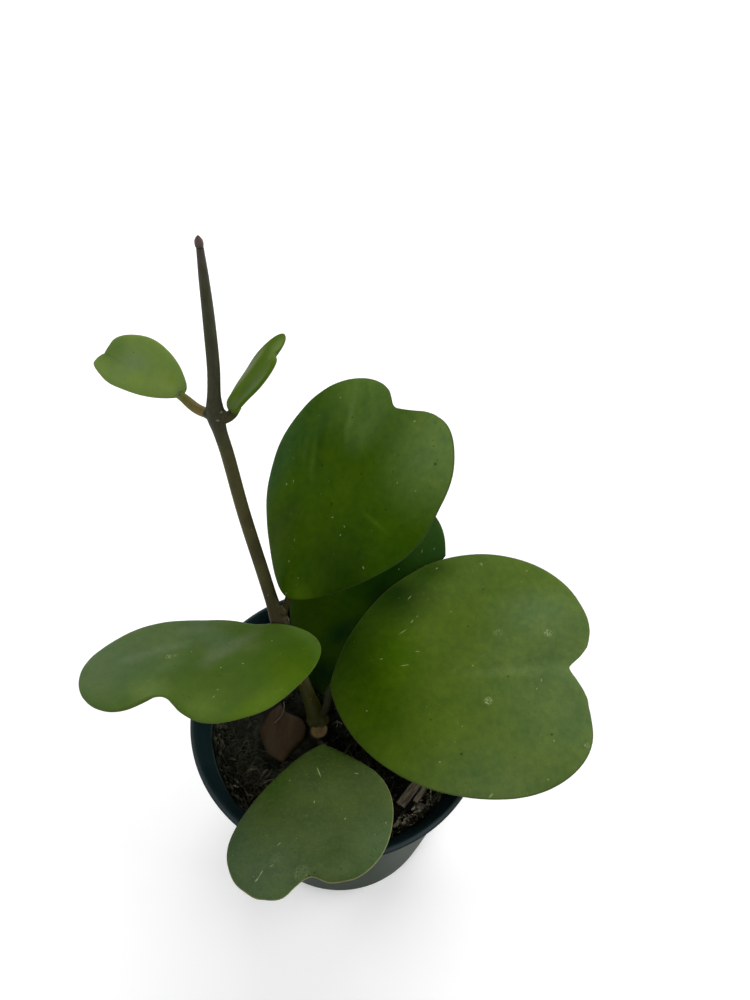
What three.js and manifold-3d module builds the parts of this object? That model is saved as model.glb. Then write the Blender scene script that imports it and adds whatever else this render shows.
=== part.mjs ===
// Potted sweetheart hoya: a young vine with heart-shaped leaves in a round nursery pot.
// Millimetres, +Z up. The origin is the centre of the pot's base, on the surface that it stands on.
import * as THREE from 'three';
import { mergeVertices } from 'three/addons/utils/BufferGeometryUtils.js';
import Module from 'manifold-3d';

const wasm = await Module();
wasm.setup();

// Driving dimensions of the pot
const POT_HEIGHT = 88;
const POT_RIM_RADIUS = 55;
const POT_SHOULDER_RADIUS = 50.4;
const POT_BASE_RADIUS = 38;
const POT_COLLAR_HEIGHT = 8;
const POT_COLLAR_STEP = 2.6;
const POT_WALL = 1.5;
const POT_FLOOR = 2;
const POT_SEGMENTS = 60;
const DRAIN_HOLES = 6;
const DRAIN_RADIUS = 3.5;
const DRAIN_CIRCLE = 27;

// Driving dimensions of the soil and what lies on it
const SOIL_TOP = 74;
const SOIL_RELIEF = 1.1;
const SOIL_RINGS = 8;
const SOIL_SEGMENTS = 44;
const CRUMB_COUNT = 34;
const CRUMB_RADIUS = [1.1, 2.3];
const CRUMB_FIELD = 43;
const SEAT_GAP = 0.3;

// Driving dimensions of the stem
const CUTTING_RADIUS = 3.4;
const CUTTING_FOOT = new THREE.Vector3(-9.2, -3.6, 56);
const CUTTING_TOP = new THREE.Vector3(-7.1, -3, 84);
const CUT_FACE = new THREE.Vector3(-7.2, -3.1, 80.8);
const CUT_TILT = [8, -8];
const LOWER_RADIUS = 2.45;
const SHOOT_RADIUS = 2.3;
const TIP_RADIUS = 1.05;
const BUD_RADIUS = 1.25;
const BUD_LENGTH = 5.4;
const STEM_SIDES = 12;
const STEM_STEPS = 42;

// Driving dimensions of the leaves
const BLADE_THICKNESS = 2.3;
const YOUNG_THICKNESS = 1.7;
const BLADE_HUB = 0.52;
const BLADE_RINGS = [0.3, 0.58, 0.8, 0.93, 0.985, 1];
const YOUNG_RINGS = [0.45, 0.8, 0.95, 1];
const MARGIN_ROUNDING = 12;
const GROOVE_DEPTH = 0.7;
const GROOVE_WIDTH = 1.6;
const GROOVE_REACH = 0.75;
const PETIOLE_SIDES = 10;
const PETIOLE_SEAT = [0.9, 0.4];

const DEGREE = Math.PI / 180;
const CIRCLE = 2 * Math.PI;
const ROUND_ARC = 0.5523;

// The shoot's way from inside the cutting to the foot of its bud, with the places of its three nodes
const STEM_ROUTE = [
  [-7.9, -1.2, 73.5], [-8.6, 1.2, 80.5], [-13.2, 9.6, 91], [-22.2, 27.4, 108.3], [-29.3, 41, 123.7],
  [-35.6, 53.6, 141.4], [-40.5, 64.3, 160.5], [-44.2, 71.4, 175.5], [-44, 78.2, 191.3],
  [-44.5, 84.3, 208.1], [-44.7, 86.4, 219], [-44.8, 87.5, 237],
].map((p) => new THREE.Vector3(...p));
const NODE_INDEX = [1, 3, 7];
const NODE_SWELL = [1, 0.75, 1.05];
const NODE_REACH = [4.5, 5, 7.5];

// Each leaf: where its base is and how it points, rises, rolls, bends along and cups across; the length
// of its midrib line to the lobe tops, how much the right lobe passes the left, and the notch's depth.
// A side gives its half width, then as shares how far out it is widest and where its lobe peaks, the
// angle at which its margin leaves the base, how strong that start is, how full the side is, and the
// angle at which the lobe enters the notch. petiole lists the way from the stem's node.
const side = (width, widest, lobe, baseAngle, belly, fullness, notchAngle) => ({
  width, widest, lobe, baseAngle, belly, fullness, notchAngle,
});
const LEAVES = {
  leaf_right: {
    base: [-3.6, 8.4, 95.2], heading: 2.2, rise: 11.8, roll: -4, bend: 0.27, cup: -0.08,
    length: 97.2, lobeShift: -1.9, notch: 8.4,
    left: side(52.2, 0.61, 0.39, 77, 0.47, 0.55, 49),
    right: side(46.1, 0.64, 0.47, 81, 0.61, 0.52, 58),
    petiole: [[-7.8, 0.8, 79.5], [-4.7, 3.6, 87]], petioleRadius: 1.9, wave: 0.6, waves: 5,
  },
  leaf_upper: {
    base: [-20.3, 33.5, 116], heading: 50.4, rise: 50.5, roll: 14.7, bend: 0.26, cup: -0.06,
    length: 87.4, lobeShift: 1.5, notch: 4.6,
    left: side(40.8, 0.56, 0.25, 97, 0.28, 0.52, 78),
    right: side(37.8, 0.61, 0.48, 80, 0.27, 0.37, 65),
    petiole: [[-22, 27, 106.8], [-20.6, 29.6, 111.6]], petioleRadius: 1.5, wave: 0.5, waves: 4,
  },
  leaf_left: {
    base: [-26, 25, 111], heading: 224.5, rise: 12.3, roll: -17.7, bend: 0.03, cup: -0.05,
    length: 60.4, lobeShift: 9.4, notch: 10.2,
    left: side(33, 0.45, 0.18, 128, 1, 0.7, 6),
    right: side(38.7, 0.75, 0.33, 54, 0.68, 0.5, 4.7),
    petiole: [[-22, 27, 106.8], [-24.3, 26.3, 108.6]], petioleRadius: 1.7, wave: 0.5, waves: 4,
  },
  leaf_front: {
    base: [-5.1, -12, 88.3], heading: 264, rise: 20, roll: -8.5, bend: 0.13, cup: -0.03,
    length: 61.7, lobeShift: 4, notch: 3.3,
    left: side(28.9, 0.53, 0.53, 68, 0.52, 0.55, 42),
    right: side(26.4, 0.73, 0.37, 50, 0.3, 0.42, 36),
    petiole: [[-7.6, -3.4, 76], [-6.3, -8.8, 81.2]], petioleRadius: 1.8, wave: 0.6, waves: 6,
  },
  leaf_behind: {
    base: [-6.4, 7.9, 84.6], heading: 50.2, rise: 16.1, roll: -5.3, bend: 0.21, cup: -0.05,
    length: 79, lobeShift: -8.5, notch: 4.2,
    left: side(44.4, 0.57, 0.47, 75, 0.43, 0.56, 43),
    right: side(29.8, 0.66, 0.35, 75, 0.46, 0.55, 40),
    petiole: [[-8.5, -0.8, 75.5], [-7.6, 4.6, 79.4]], petioleRadius: 1.7, wave: 0.4, waves: 3,
  },
  leaf_small_left: {
    base: [-56.2, 77, 177.8], heading: 157.7, rise: 17.7, roll: 18, bend: 0.1, cup: 0.05,
    length: 31.6, lobeShift: -0.7, notch: 0.8,
    left: side(8.2, 0.62, 0.53, 87, 0.19, 0.5, 43),
    right: side(12.4, 0.54, 0.37, 103, 0.46, 0.47, 40),
    petiole: [[-44.6, 71.2, 174.4], [-50.6, 73.6, 175.6]], petioleRadius: 1.7, wave: 0.25, waves: 3,
    young: true,
  },
  leaf_small_right: {
    base: [-39.1, 71.6, 175.6], heading: 40, rise: 39.6, roll: 30.3, bend: 0.05, cup: 0.14,
    length: 29.4, lobeShift: -3.5, notch: 2,
    left: side(9.4, 0.62, 0.45, 97, 0.86, 0.49, 10),
    right: side(8.7, 0.62, 0.3, 76, 0.38, 0.53, 38),
    petiole: [[-44.4, 70.8, 173.6], [-41.2, 70.3, 174]], petioleRadius: 2, wave: 0.2, waves: 3,
    young: true,
  },
};

// The bark chunk lies beside the stem, the chips and the pebble at the right
const BARK_PLACE = [-21.3, -2.6, 74.4];
const BARK_TILT = [4, -5];
const BARK_THICKNESS = 4;
const BARK_BEVEL = 0.8;
const BARK_OUTLINE = [
  [-0.9, 11.9], [1.2, 8.2], [7.1, 5.9], [9.5, 2.4], [8.8, -1.6], [3.7, -7.2],
  [1.3, -11.2], [-5.3, -7.6], [-7.3, -2.8], [-8.9, 1.6], [-5.5, 8.2],
];
const CHIPS = {
  wood_chip_long: { place: [26.9, -25.4, 75.6], size: [11, 3.6, 2], turn: 55 },
  wood_chip_short: { place: [31.2, -25.2, 75.4], size: [7.5, 2.1, 1.8], turn: 57 },
};
const PEBBLE_PLACE = [31.2, -31, 75.6];
const PEBBLE_RADIUS = 1.9;

const finish = (color, roughness) => new THREE.MeshStandardMaterial({ color, roughness, metalness: 0 });
const MATERIALS = {
  pot: finish(0x2f3233, 0.45),
  soil: finish(0x1c1611, 0.95),
  bark: finish(0x3a2723, 0.85),
  chip: finish(0x6b5f50, 0.9),
  grit: finish(0x6f6b66, 0.85),
  stem: finish(0x3b3a28, 0.6),
  leaf: finish(0x2c4a0f, 0.42),
  youngLeaf: finish(0x547a2c, 0.4),
};

// Closed geometry to a solid, with its shared vertices merged and collapsed triangles dropped
function solidOf(geometry) {
  const bare = geometry.clone();
  bare.deleteAttribute('normal');
  bare.deleteAttribute('uv');
  const merged = mergeVertices(bare, 1e-4);
  const corners = merged.index.array;
  const kept = [];
  for (let i = 0; i < corners.length; i += 3) {
    const [a, b, c] = corners.slice(i, i + 3);
    if (a !== b && b !== c && c !== a) kept.push(a, b, c);
  }
  return new wasm.Manifold(new wasm.Mesh({
    numProp: 3,
    vertProperties: Float32Array.from(merged.attributes.position.array),
    triVerts: Uint32Array.from(kept),
  }));
}

function geometryOf(solid) {
  const mesh = solid.getMesh();
  const geometry = new THREE.BufferGeometry();
  geometry.setAttribute('position', new THREE.BufferAttribute(mesh.vertProperties, 3));
  geometry.setIndex(new THREE.BufferAttribute(mesh.triVerts, 1));
  geometry.computeVertexNormals();
  return geometry;
}

function geometryFrom(points, triangles) {
  const geometry = new THREE.BufferGeometry();
  const numbers = points.flatMap((p) => [p.x, p.y, p.z]);
  geometry.setAttribute('position', new THREE.Float32BufferAttribute(numbers, 3));
  geometry.setIndex(triangles);
  return geometry;
}

// Small seeded generator, so the crumbs fall the same way each time
function seededDraws(seed) {
  let state = seed;
  return () => {
    state = (state * 1664525 + 1013904223) % 4294967296;
    return state / 4294967296;
  };
}

// Closed round tube along a smooth route; radiusAt takes the share of its length from 0 to 1
function taperedTube(route, radiusAt, steps, sides) {
  const path = new THREE.CatmullRomCurve3(route);
  const frames = path.computeFrenetFrames(steps);
  const points = [];
  const triangles = [];
  for (let i = 0; i <= steps; i += 1) {
    const share = i / steps;
    const centre = path.getPointAt(share);
    for (let j = 0; j < sides; j += 1) {
      const angle = (CIRCLE * j) / sides;
      points.push(centre.clone()
        .addScaledVector(frames.normals[i], radiusAt(share) * Math.cos(angle))
        .addScaledVector(frames.binormals[i], radiusAt(share) * Math.sin(angle)));
    }
  }
  for (let i = 0; i < steps; i += 1) {
    for (let j = 0; j < sides; j += 1) {
      const next = (j + 1) % sides;
      const [a, b] = [i * sides + j, i * sides + next];
      const [c, d] = [a + sides, b + sides];
      triangles.push(a, b, d, a, d, c);
    }
  }
  const foot = points.push(path.getPointAt(0)) - 1;
  const head = points.push(path.getPointAt(1)) - 1;
  for (let j = 0; j < sides; j += 1) {
    const next = (j + 1) % sides;
    triangles.push(foot, next, j);
    triangles.push(head, steps * sides + j, steps * sides + next);
  }
  return geometryFrom(points, triangles);
}

// Pot: one turned profile, up the outside and down the inside, with drain holes through its floor
function potInnerRadius(height) {
  const share = height / (POT_HEIGHT - POT_COLLAR_HEIGHT);
  return POT_BASE_RADIUS + (POT_SHOULDER_RADIUS - POT_BASE_RADIUS) * share - POT_WALL;
}

function makePot() {
  const collarFoot = POT_HEIGHT - POT_COLLAR_HEIGHT;
  const collarRadius = POT_SHOULDER_RADIUS + POT_COLLAR_STEP;
  const profile = [
    [0, 0], [POT_BASE_RADIUS - 0.9, 0], [POT_BASE_RADIUS, 0.9],
    [POT_SHOULDER_RADIUS, collarFoot - 1.6], [collarRadius - 0.4, collarFoot],
    [collarRadius + 0.5, POT_HEIGHT - 3.1], [POT_RIM_RADIUS - 0.3, POT_HEIGHT - 2.4],
    [POT_RIM_RADIUS, POT_HEIGHT - 1.3], [POT_RIM_RADIUS - 0.5, POT_HEIGHT - 0.3],
    [POT_RIM_RADIUS - 1.4, POT_HEIGHT], [POT_RIM_RADIUS - 2.4, POT_HEIGHT - 0.7],
    [collarRadius - POT_WALL + 0.2, POT_HEIGHT - 3.4],
    [potInnerRadius(collarFoot) + 0.3, POT_HEIGHT - 6], [potInnerRadius(collarFoot), collarFoot + 0.6],
    [potInnerRadius(POT_FLOOR), POT_FLOOR], [0, POT_FLOOR],
  ];
  const turned = new THREE.LatheGeometry(profile.map(([r, z]) => new THREE.Vector2(r, z)), POT_SEGMENTS);
  turned.rotateX(Math.PI / 2);
  let pot = solidOf(turned);
  for (let i = 0; i < DRAIN_HOLES; i += 1) {
    const angle = (CIRCLE * (i + 0.5)) / DRAIN_HOLES;
    const drill = new THREE.CylinderGeometry(DRAIN_RADIUS, DRAIN_RADIUS, 4 * POT_FLOOR, 16);
    drill.rotateX(Math.PI / 2);
    drill.translate(DRAIN_CIRCLE * Math.cos(angle), DRAIN_CIRCLE * Math.sin(angle), POT_FLOOR / 2);
    pot = pot.subtract(solidOf(drill));
  }
  return geometryOf(pot);
}

// Length of the route up to one of its points, as a share of the whole
function routeShare(index) {
  const chords = STEM_ROUTE.slice(1).map((p, i) => p.distanceTo(STEM_ROUTE[i]));
  const sum = (list) => list.reduce((total, chord) => total + chord, 0);
  return sum(chords.slice(0, index)) / sum(chords);
}

function stemRadius(share) {
  const length = new THREE.CatmullRomCurve3(STEM_ROUTE).getLength();
  const topNode = routeShare(NODE_INDEX[2]);
  const above = Math.max(0, (share - topNode) / (1 - topNode));
  const plain = share < topNode ? LOWER_RADIUS : THREE.MathUtils.lerp(SHOOT_RADIUS, TIP_RADIUS, above ** 3);
  return NODE_INDEX.reduce((radius, index, i) => {
    const distance = (share - routeShare(index)) * length;
    return radius + NODE_SWELL[i] * Math.exp(-((distance / NODE_REACH[i]) ** 2));
  }, plain);
}

// Stem: the rooted cutting, the shoot that swells at its nodes and thins to its tip, and the bud,
// as one solid. extra swells it all round, which gives the cutter that keeps its neighbours clear.
function makeStem(extra) {
  const footRoute = [CUTTING_FOOT.clone(), CUTTING_TOP.clone()];
  footRoute[0].z -= extra;
  const cutting = solidOf(taperedTube(footRoute, () => CUTTING_RADIUS + extra, 2, STEM_SIDES + 2));
  const above = new THREE.BoxGeometry(40, 40, 20);
  above.translate(0, 0, 10);
  above.rotateX(CUT_TILT[0] * DEGREE);
  above.rotateY(CUT_TILT[1] * DEGREE);
  above.translate(CUT_FACE.x, CUT_FACE.y, CUT_FACE.z + extra);
  const shoot = taperedTube(STEM_ROUTE, (share) => stemRadius(share) + extra, STEM_STEPS, STEM_SIDES);
  const bud = new THREE.SphereGeometry(1, STEM_SIDES, 8);
  bud.rotateX(Math.PI / 2);
  bud.scale(BUD_RADIUS + extra, 0.85 * BUD_RADIUS + extra, BUD_LENGTH / 2 + extra);
  bud.translate(...STEM_ROUTE.at(-1));
  bud.translate(-0.1, 0.2, 0.45 * BUD_LENGTH);
  return cutting.subtract(solidOf(above)).add(solidOf(shoot)).add(solidOf(bud));
}

// Leaf outline, a heart standing on its point: each half is three arcs, from the base to the widest
// place, on to the top of the lobe, and down into the notch. y runs along the midrib.
function halfOutline(leaf, half, lobeLength, arcSteps) {
  const notchY = leaf.length - leaf.notch;
  const widestY = half.widest * leaf.length;
  const lobeX = half.lobe * half.width;
  const notchTurn = half.notchAngle * DEGREE;
  const notchReach = 0.5 * (lobeLength - notchY) / Math.max(Math.cos(notchTurn), 0.3);
  const baseReach = half.belly * half.width;
  const at = (x, y) => new THREE.Vector2(x, y);
  const polar = (turn, reach, y) => at(reach * Math.sin(turn), y + reach * Math.cos(turn));
  const arcs = [
    new THREE.CubicBezierCurve(at(0, 0), polar(half.baseAngle * DEGREE, baseReach, 0),
      at(half.width, widestY * (1 - half.fullness)), at(half.width, widestY)),
    new THREE.CubicBezierCurve(at(half.width, widestY),
      at(half.width, widestY + ROUND_ARC * (lobeLength - widestY)),
      at(lobeX + ROUND_ARC * (half.width - lobeX), lobeLength), at(lobeX, lobeLength)),
    new THREE.CubicBezierCurve(at(lobeX, lobeLength), at(lobeX * (1 - ROUND_ARC), lobeLength),
      polar(notchTurn, notchReach, notchY), at(0, notchY)),
  ];
  return arcs.flatMap((arc) => arc.getPoints(arcSteps).slice(0, -1));
}

function leafOutline(leaf, arcSteps) {
  const right = halfOutline(leaf, leaf.right, leaf.length + leaf.lobeShift, arcSteps);
  const left = halfOutline(leaf, leaf.left, leaf.length - leaf.lobeShift, arcSteps);
  const mirrored = left.slice(1).reverse().map((p) => new THREE.Vector2(-p.x, p.y));
  return [...right, new THREE.Vector2(0, leaf.length - leaf.notch), ...mirrored];
}

// A point of the flat outline, lifted off it, then cupped across the midrib and bent along it
function bladePoint(leaf, x, y, lift) {
  const halfWidth = (leaf.left.width + leaf.right.width) / 2;
  const height = leaf.cup * (x / halfWidth) ** 2 * halfWidth + lift;
  const bendRadius = leaf.length / leaf.bend;
  const angle = y / bendRadius;
  const along = (bendRadius + height) * Math.sin(angle);
  return new THREE.Vector3(x, along, height * Math.cos(angle) - bendRadius * (1 - Math.cos(angle)));
}

// Blade: rings from its middle out to the margin, the same on both faces, thinning to a round margin
function makeBlade(leaf) {
  const arcSteps = leaf.young ? 5 : 8;
  const shares = leaf.young ? YOUNG_RINGS : BLADE_RINGS;
  const thickness = leaf.young ? YOUNG_THICKNESS : BLADE_THICKNESS;
  const outline = leafOutline(leaf, arcSteps);
  const count = outline.length;
  const middle = new THREE.Vector2(0, BLADE_HUB * leaf.length);
  const surfacePoint = (flat, share, turn, face) => {
    const ripple = leaf.wave * share ** 3 * Math.sin(leaf.waves * turn * CIRCLE);
    const half = (thickness / 2) * Math.sqrt(1 - share ** MARGIN_ROUNDING);
    const fade = Math.max(0, 1 - flat.y / (GROOVE_REACH * leaf.length)) * (1 - share ** 6);
    const groove = GROOVE_DEPTH * Math.exp(-((flat.x / GROOVE_WIDTH) ** 2)) * fade;
    return bladePoint(leaf, flat.x, flat.y, ripple + face * half - groove);
  };
  const points = [];
  const triangles = [];
  const ringStart = {};
  for (const face of [1, -1]) {
    const hub = points.push(surfacePoint(middle, 0, 0, face)) - 1;
    const starts = shares.map((share) => {
      if (share === 1 && face === -1) return ringStart.margin;
      const start = points.length;
      outline.forEach((p, i) => points.push(
        surfacePoint(middle.clone().lerp(p, share), share, i / count, share === 1 ? 0 : face)));
      if (share === 1) ringStart.margin = start;
      return start;
    });
    const add = (a, b, c) => (face === 1 ? triangles.push(a, b, c) : triangles.push(a, c, b));
    for (let i = 0; i < count; i += 1) {
      const next = (i + 1) % count;
      add(hub, starts[0] + i, starts[0] + next);
      for (let r = 0; r + 1 < starts.length; r += 1) {
        const [inner, outer] = [starts[r], starts[r + 1]];
        add(inner + i, outer + i, outer + next);
        add(inner + i, outer + next, inner + next);
      }
    }
  }
  return geometryFrom(points, triangles);
}

// Leaf: blade and petiole in one, in the leaf's own frame with its base at the origin,
// trimmed clear of the stem that it grows from
function makeLeaf(leaf, material, stemCutter) {
  const mesh = new THREE.Mesh(new THREE.BufferGeometry(), material);
  mesh.position.set(...leaf.base);
  mesh.rotation.set(leaf.rise * DEGREE, -leaf.roll * DEGREE, (leaf.heading - 90) * DEGREE, 'ZXY');
  mesh.updateMatrix();
  const toLeaf = mesh.matrix.clone().invert();
  const route = leaf.petiole.map((p) => new THREE.Vector3(...p).applyMatrix4(toLeaf));
  const seat = leaf.young ? PETIOLE_SEAT[1] : PETIOLE_SEAT[0];
  route.push(bladePoint(leaf, 0, 0.01 * leaf.length, -seat), bladePoint(leaf, 0, 0.12 * leaf.length, -seat));
  const radiusAt = (share) => leaf.petioleRadius * (1 - 0.5 * THREE.MathUtils.smoothstep(share, 0.5, 1));
  const petiole = solidOf(taperedTube(route, radiusAt, 8, PETIOLE_SIDES));
  const cutter = solidOf(stemCutter.clone().applyMatrix4(toLeaf));
  mesh.geometry = geometryOf(solidOf(makeBlade(leaf)).add(petiole).subtract(cutter));
  return mesh;
}

// Bark chunk: its outline with a bevelled edge, lying a little tilted on the soil
function makeBark(extra) {
  const shape = new THREE.Shape(BARK_OUTLINE.map(([x, y]) => new THREE.Vector2(x, y)));
  const slab = new THREE.ExtrudeGeometry(shape, {
    depth: BARK_THICKNESS - 2 * BARK_BEVEL, bevelSegments: 2, curveSegments: 1,
    bevelSize: BARK_BEVEL, bevelOffset: extra - BARK_BEVEL, bevelThickness: BARK_BEVEL + extra,
  });
  slab.rotateX(BARK_TILT[0] * DEGREE);
  slab.rotateY(BARK_TILT[1] * DEGREE);
  slab.translate(...BARK_PLACE);
  return slab;
}

// Wood chip: a ribbed splinter, its ribs running along it
function makeChip({ place, size, turn }, extra) {
  const [length, width, height] = size;
  const ribs = 3;
  const section = new THREE.Shape();
  section.moveTo(-width / 2 - extra, -extra);
  section.lineTo(width / 2 + extra, -extra);
  for (let i = ribs; i > 0; i -= 1) {
    const x = -width / 2 + (width * i) / ribs;
    section.lineTo(x + (i === ribs ? extra : 0), height * 0.75 + extra);
    section.lineTo(x - width / ribs / 2, height + extra);
  }
  section.lineTo(-width / 2 - extra, height * 0.75 + extra);
  const chip = new THREE.ExtrudeGeometry(section, { depth: length + 2 * extra, bevelEnabled: false });
  chip.translate(0, 0, -length / 2 - extra);
  chip.rotateX(Math.PI / 2);
  chip.rotateZ((turn + 90) * DEGREE);
  chip.translate(place[0], place[1], place[2]);
  return chip;
}

function makePebble(extra) {
  const pebble = new THREE.IcosahedronGeometry(PEBBLE_RADIUS + extra, 1);
  pebble.scale(1, 0.9, 0.75);
  pebble.translate(...PEBBLE_PLACE);
  return pebble;
}

// Soil: fills the pot, with an uneven top, half-sunk crumbs, a plain hole for the cutting
// and a seat under each thing that lies on it
function soilHeight(x, y) {
  return SOIL_TOP + SOIL_RELIEF * (Math.sin(x / 7 + 1) * Math.cos(y / 9) + 0.5 * Math.sin((x + 1.4 * y) / 5));
}

function makeSoil(cutters) {
  const floor = POT_FLOOR + SEAT_GAP;
  const edge = potInnerRadius(SOIL_TOP - 2) - SEAT_GAP;
  const foot = potInnerRadius(floor) - SEAT_GAP;
  const points = [new THREE.Vector3(0, 0, soilHeight(0, 0))];
  const triangles = [];
  for (let r = 1; r <= SOIL_RINGS + 1; r += 1) {
    for (let j = 0; j < SOIL_SEGMENTS; j += 1) {
      const angle = (CIRCLE * (j + 0.5 * (r % 2))) / SOIL_SEGMENTS;
      const onTop = r <= SOIL_RINGS;
      const radius = onTop ? (edge * r) / SOIL_RINGS : foot;
      const [x, y] = [radius * Math.cos(angle), radius * Math.sin(angle)];
      points.push(new THREE.Vector3(x, y, onTop ? soilHeight(x, y) : floor));
    }
  }
  const under = points.push(new THREE.Vector3(0, 0, floor)) - 1;
  const ring = (r, j) => 1 + (r - 1) * SOIL_SEGMENTS + (j % SOIL_SEGMENTS);
  for (let j = 0; j < SOIL_SEGMENTS; j += 1) {
    triangles.push(0, ring(1, j), ring(1, j + 1));
    for (let r = 1; r <= SOIL_RINGS; r += 1) {
      triangles.push(ring(r, j), ring(r + 1, j), ring(r, j + 1));
      triangles.push(ring(r, j + 1), ring(r + 1, j), ring(r + 1, j + 1));
    }
    triangles.push(under, ring(SOIL_RINGS + 1, j + 1), ring(SOIL_RINGS + 1, j));
  }
  let soil = solidOf(geometryFrom(points, triangles));
  const draw = seededDraws(41);
  for (let i = 0; i < CRUMB_COUNT; i += 1) {
    const angle = CIRCLE * draw();
    const radius = CRUMB_FIELD * Math.sqrt(draw());
    const size = THREE.MathUtils.lerp(...CRUMB_RADIUS, draw());
    const crumb = new THREE.IcosahedronGeometry(size, 0);
    crumb.scale(1 + 0.5 * draw(), 1, 0.8);
    crumb.rotateZ(CIRCLE * draw());
    const [x, y] = [radius * Math.cos(angle), radius * Math.sin(angle)];
    crumb.translate(x, y, soilHeight(x, y) - 0.1 * size);
    soil = soil.add(solidOf(crumb));
  }
  return geometryOf(cutters.reduce((rest, cutter) => rest.subtract(cutter), soil));
}

const plant = new THREE.Group();
function put(name, geometry, material) {
  const mesh = geometry.isMesh ? geometry : new THREE.Mesh(geometry, material);
  mesh.name = name;
  plant.add(mesh);
}

const stemCutter = makeStem(SEAT_GAP);
const stemCutterGeometry = geometryOf(stemCutter);
const seats = [stemCutter, solidOf(makeBark(SEAT_GAP)), solidOf(makePebble(SEAT_GAP))];
for (const chip of Object.values(CHIPS)) seats.push(solidOf(makeChip(chip, SEAT_GAP)));

put('pot', makePot(), MATERIALS.pot);
put('soil', makeSoil(seats), MATERIALS.soil);
put('bark_chunk', makeBark(0), MATERIALS.bark);
for (const [name, chip] of Object.entries(CHIPS)) put(name, makeChip(chip, 0), MATERIALS.chip);
put('grit_pebble', makePebble(0), MATERIALS.grit);
put('stem', geometryOf(makeStem(0)), MATERIALS.stem);
for (const [name, leaf] of Object.entries(LEAVES)) {
  const material = leaf.young ? MATERIALS.youngLeaf : MATERIALS.leaf;
  put(name, makeLeaf(leaf, material, stemCutterGeometry));
}

export default plant;
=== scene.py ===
"""Looks of the potted sweetheart hoya: camera, light, and the fine pieces that stand for the solids.

Lengths are in millimetres up to new_piece(), which turns them into metres.
"""
import math
import random
from types import SimpleNamespace

import bmesh
import bpy
import numpy as np
from mathutils import Matrix, Vector, noise


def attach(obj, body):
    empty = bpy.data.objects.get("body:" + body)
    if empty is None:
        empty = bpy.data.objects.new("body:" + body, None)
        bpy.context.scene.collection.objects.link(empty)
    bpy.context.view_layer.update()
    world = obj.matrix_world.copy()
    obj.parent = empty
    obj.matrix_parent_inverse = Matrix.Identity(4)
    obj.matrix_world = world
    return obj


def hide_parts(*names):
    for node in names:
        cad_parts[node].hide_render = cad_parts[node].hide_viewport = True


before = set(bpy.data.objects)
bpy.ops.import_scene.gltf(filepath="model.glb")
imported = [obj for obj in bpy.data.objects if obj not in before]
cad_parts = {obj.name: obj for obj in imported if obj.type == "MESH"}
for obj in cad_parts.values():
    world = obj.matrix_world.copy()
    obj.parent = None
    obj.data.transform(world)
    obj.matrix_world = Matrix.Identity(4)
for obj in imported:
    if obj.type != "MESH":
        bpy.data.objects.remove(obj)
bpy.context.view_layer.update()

MM = 0.001

# Camera: above the front edge of the pot, looking down at the fork of the stem
CAMERA_PLACE = (11.8, -193.1, 497.9)
CAMERA_DOWN = 54.6
CAMERA_ROLL = 1.3
CAMERA_LENS = 43.2

# Stage, in metres: the floor, and each light's place, side and power in watts
FLOOR_REACH = 4.0
SKY = (0.95, 0.98, 1.0, 1)
SKY_STRENGTH = 0.16
LIGHTS = {
    "window_behind": ((0.35, 1.4, 1.0), 1.5, 25),
    "window_right": ((1.5, 0.1, 0.7), 1.2, 17),
    "window_left": ((-1.4, 0.4, 0.9), 1.2, 9),
    "front_fill": ((-0.6, -1.2, 1.1), 1.0, 11),
}

# Pot: radius and height, from the middle of the base round the lip to the middle of the floor inside
POT_FLOOR = 2
POT_PROFILE = [
    (0, 0), (37.1, 0), (38, 0.9), (50.4, 78.4), (52.6, 80), (53.5, 84.9), (54.7, 85.6), (55, 86.7),
    (54.5, 87.7), (53.6, 88), (52.5, 87.4), (51, 84.9), (49.4, 82.3), (48.2, 80), (47.8, 77.4),
    (36.81, POT_FLOOR), (0, POT_FLOOR),
]
POT_SIDES = 168
DRAIN_HOLES = 6
DRAIN_RADIUS = 3.5
DRAIN_CIRCLE = 27

# Soil: radii of its top and its foot, its heights, and its lumps as height, size and seed
SOIL_EDGE = 47.3
SOIL_FOOT = 36.5
SOIL_TOP = 74
SOIL_UNDERSIDE = 2.3
SOIL_RINGS = 64
SOIL_SIDES = 200
SOIL_LUMPS = [(0.9, 3.6, 1), (0.6, 1.5, 5), (0.3, 0.7, 9)]
HOLLOW = (-27.5, -14.5)
HOLLOW_DEPTH = 1.6
HOLLOW_WIDTH = 4
# The mix banks up towards the wall
BANK_START = 42.6
BANK_WIDTH = 4
BANK_RISE = 1.8

# What lies on the soil: how far the crumbs and the bits banked against the wall reach, and how many of
# each kind are drawn. The first of the root fibres, LEFT_FIBRES of them, lie at the left.
CRUMB_REACH = 46
WALL_REACH = 47
CRUMBS = 2100
PALE_BITS = 80
BANKED_BITS = 620
ROOT_FIBRES = 620
LEFT_FIBRES = 480
FLAT_SHREDS = 150
PALE_SHREDS = 30
GREY_SHREDS = 46
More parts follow.
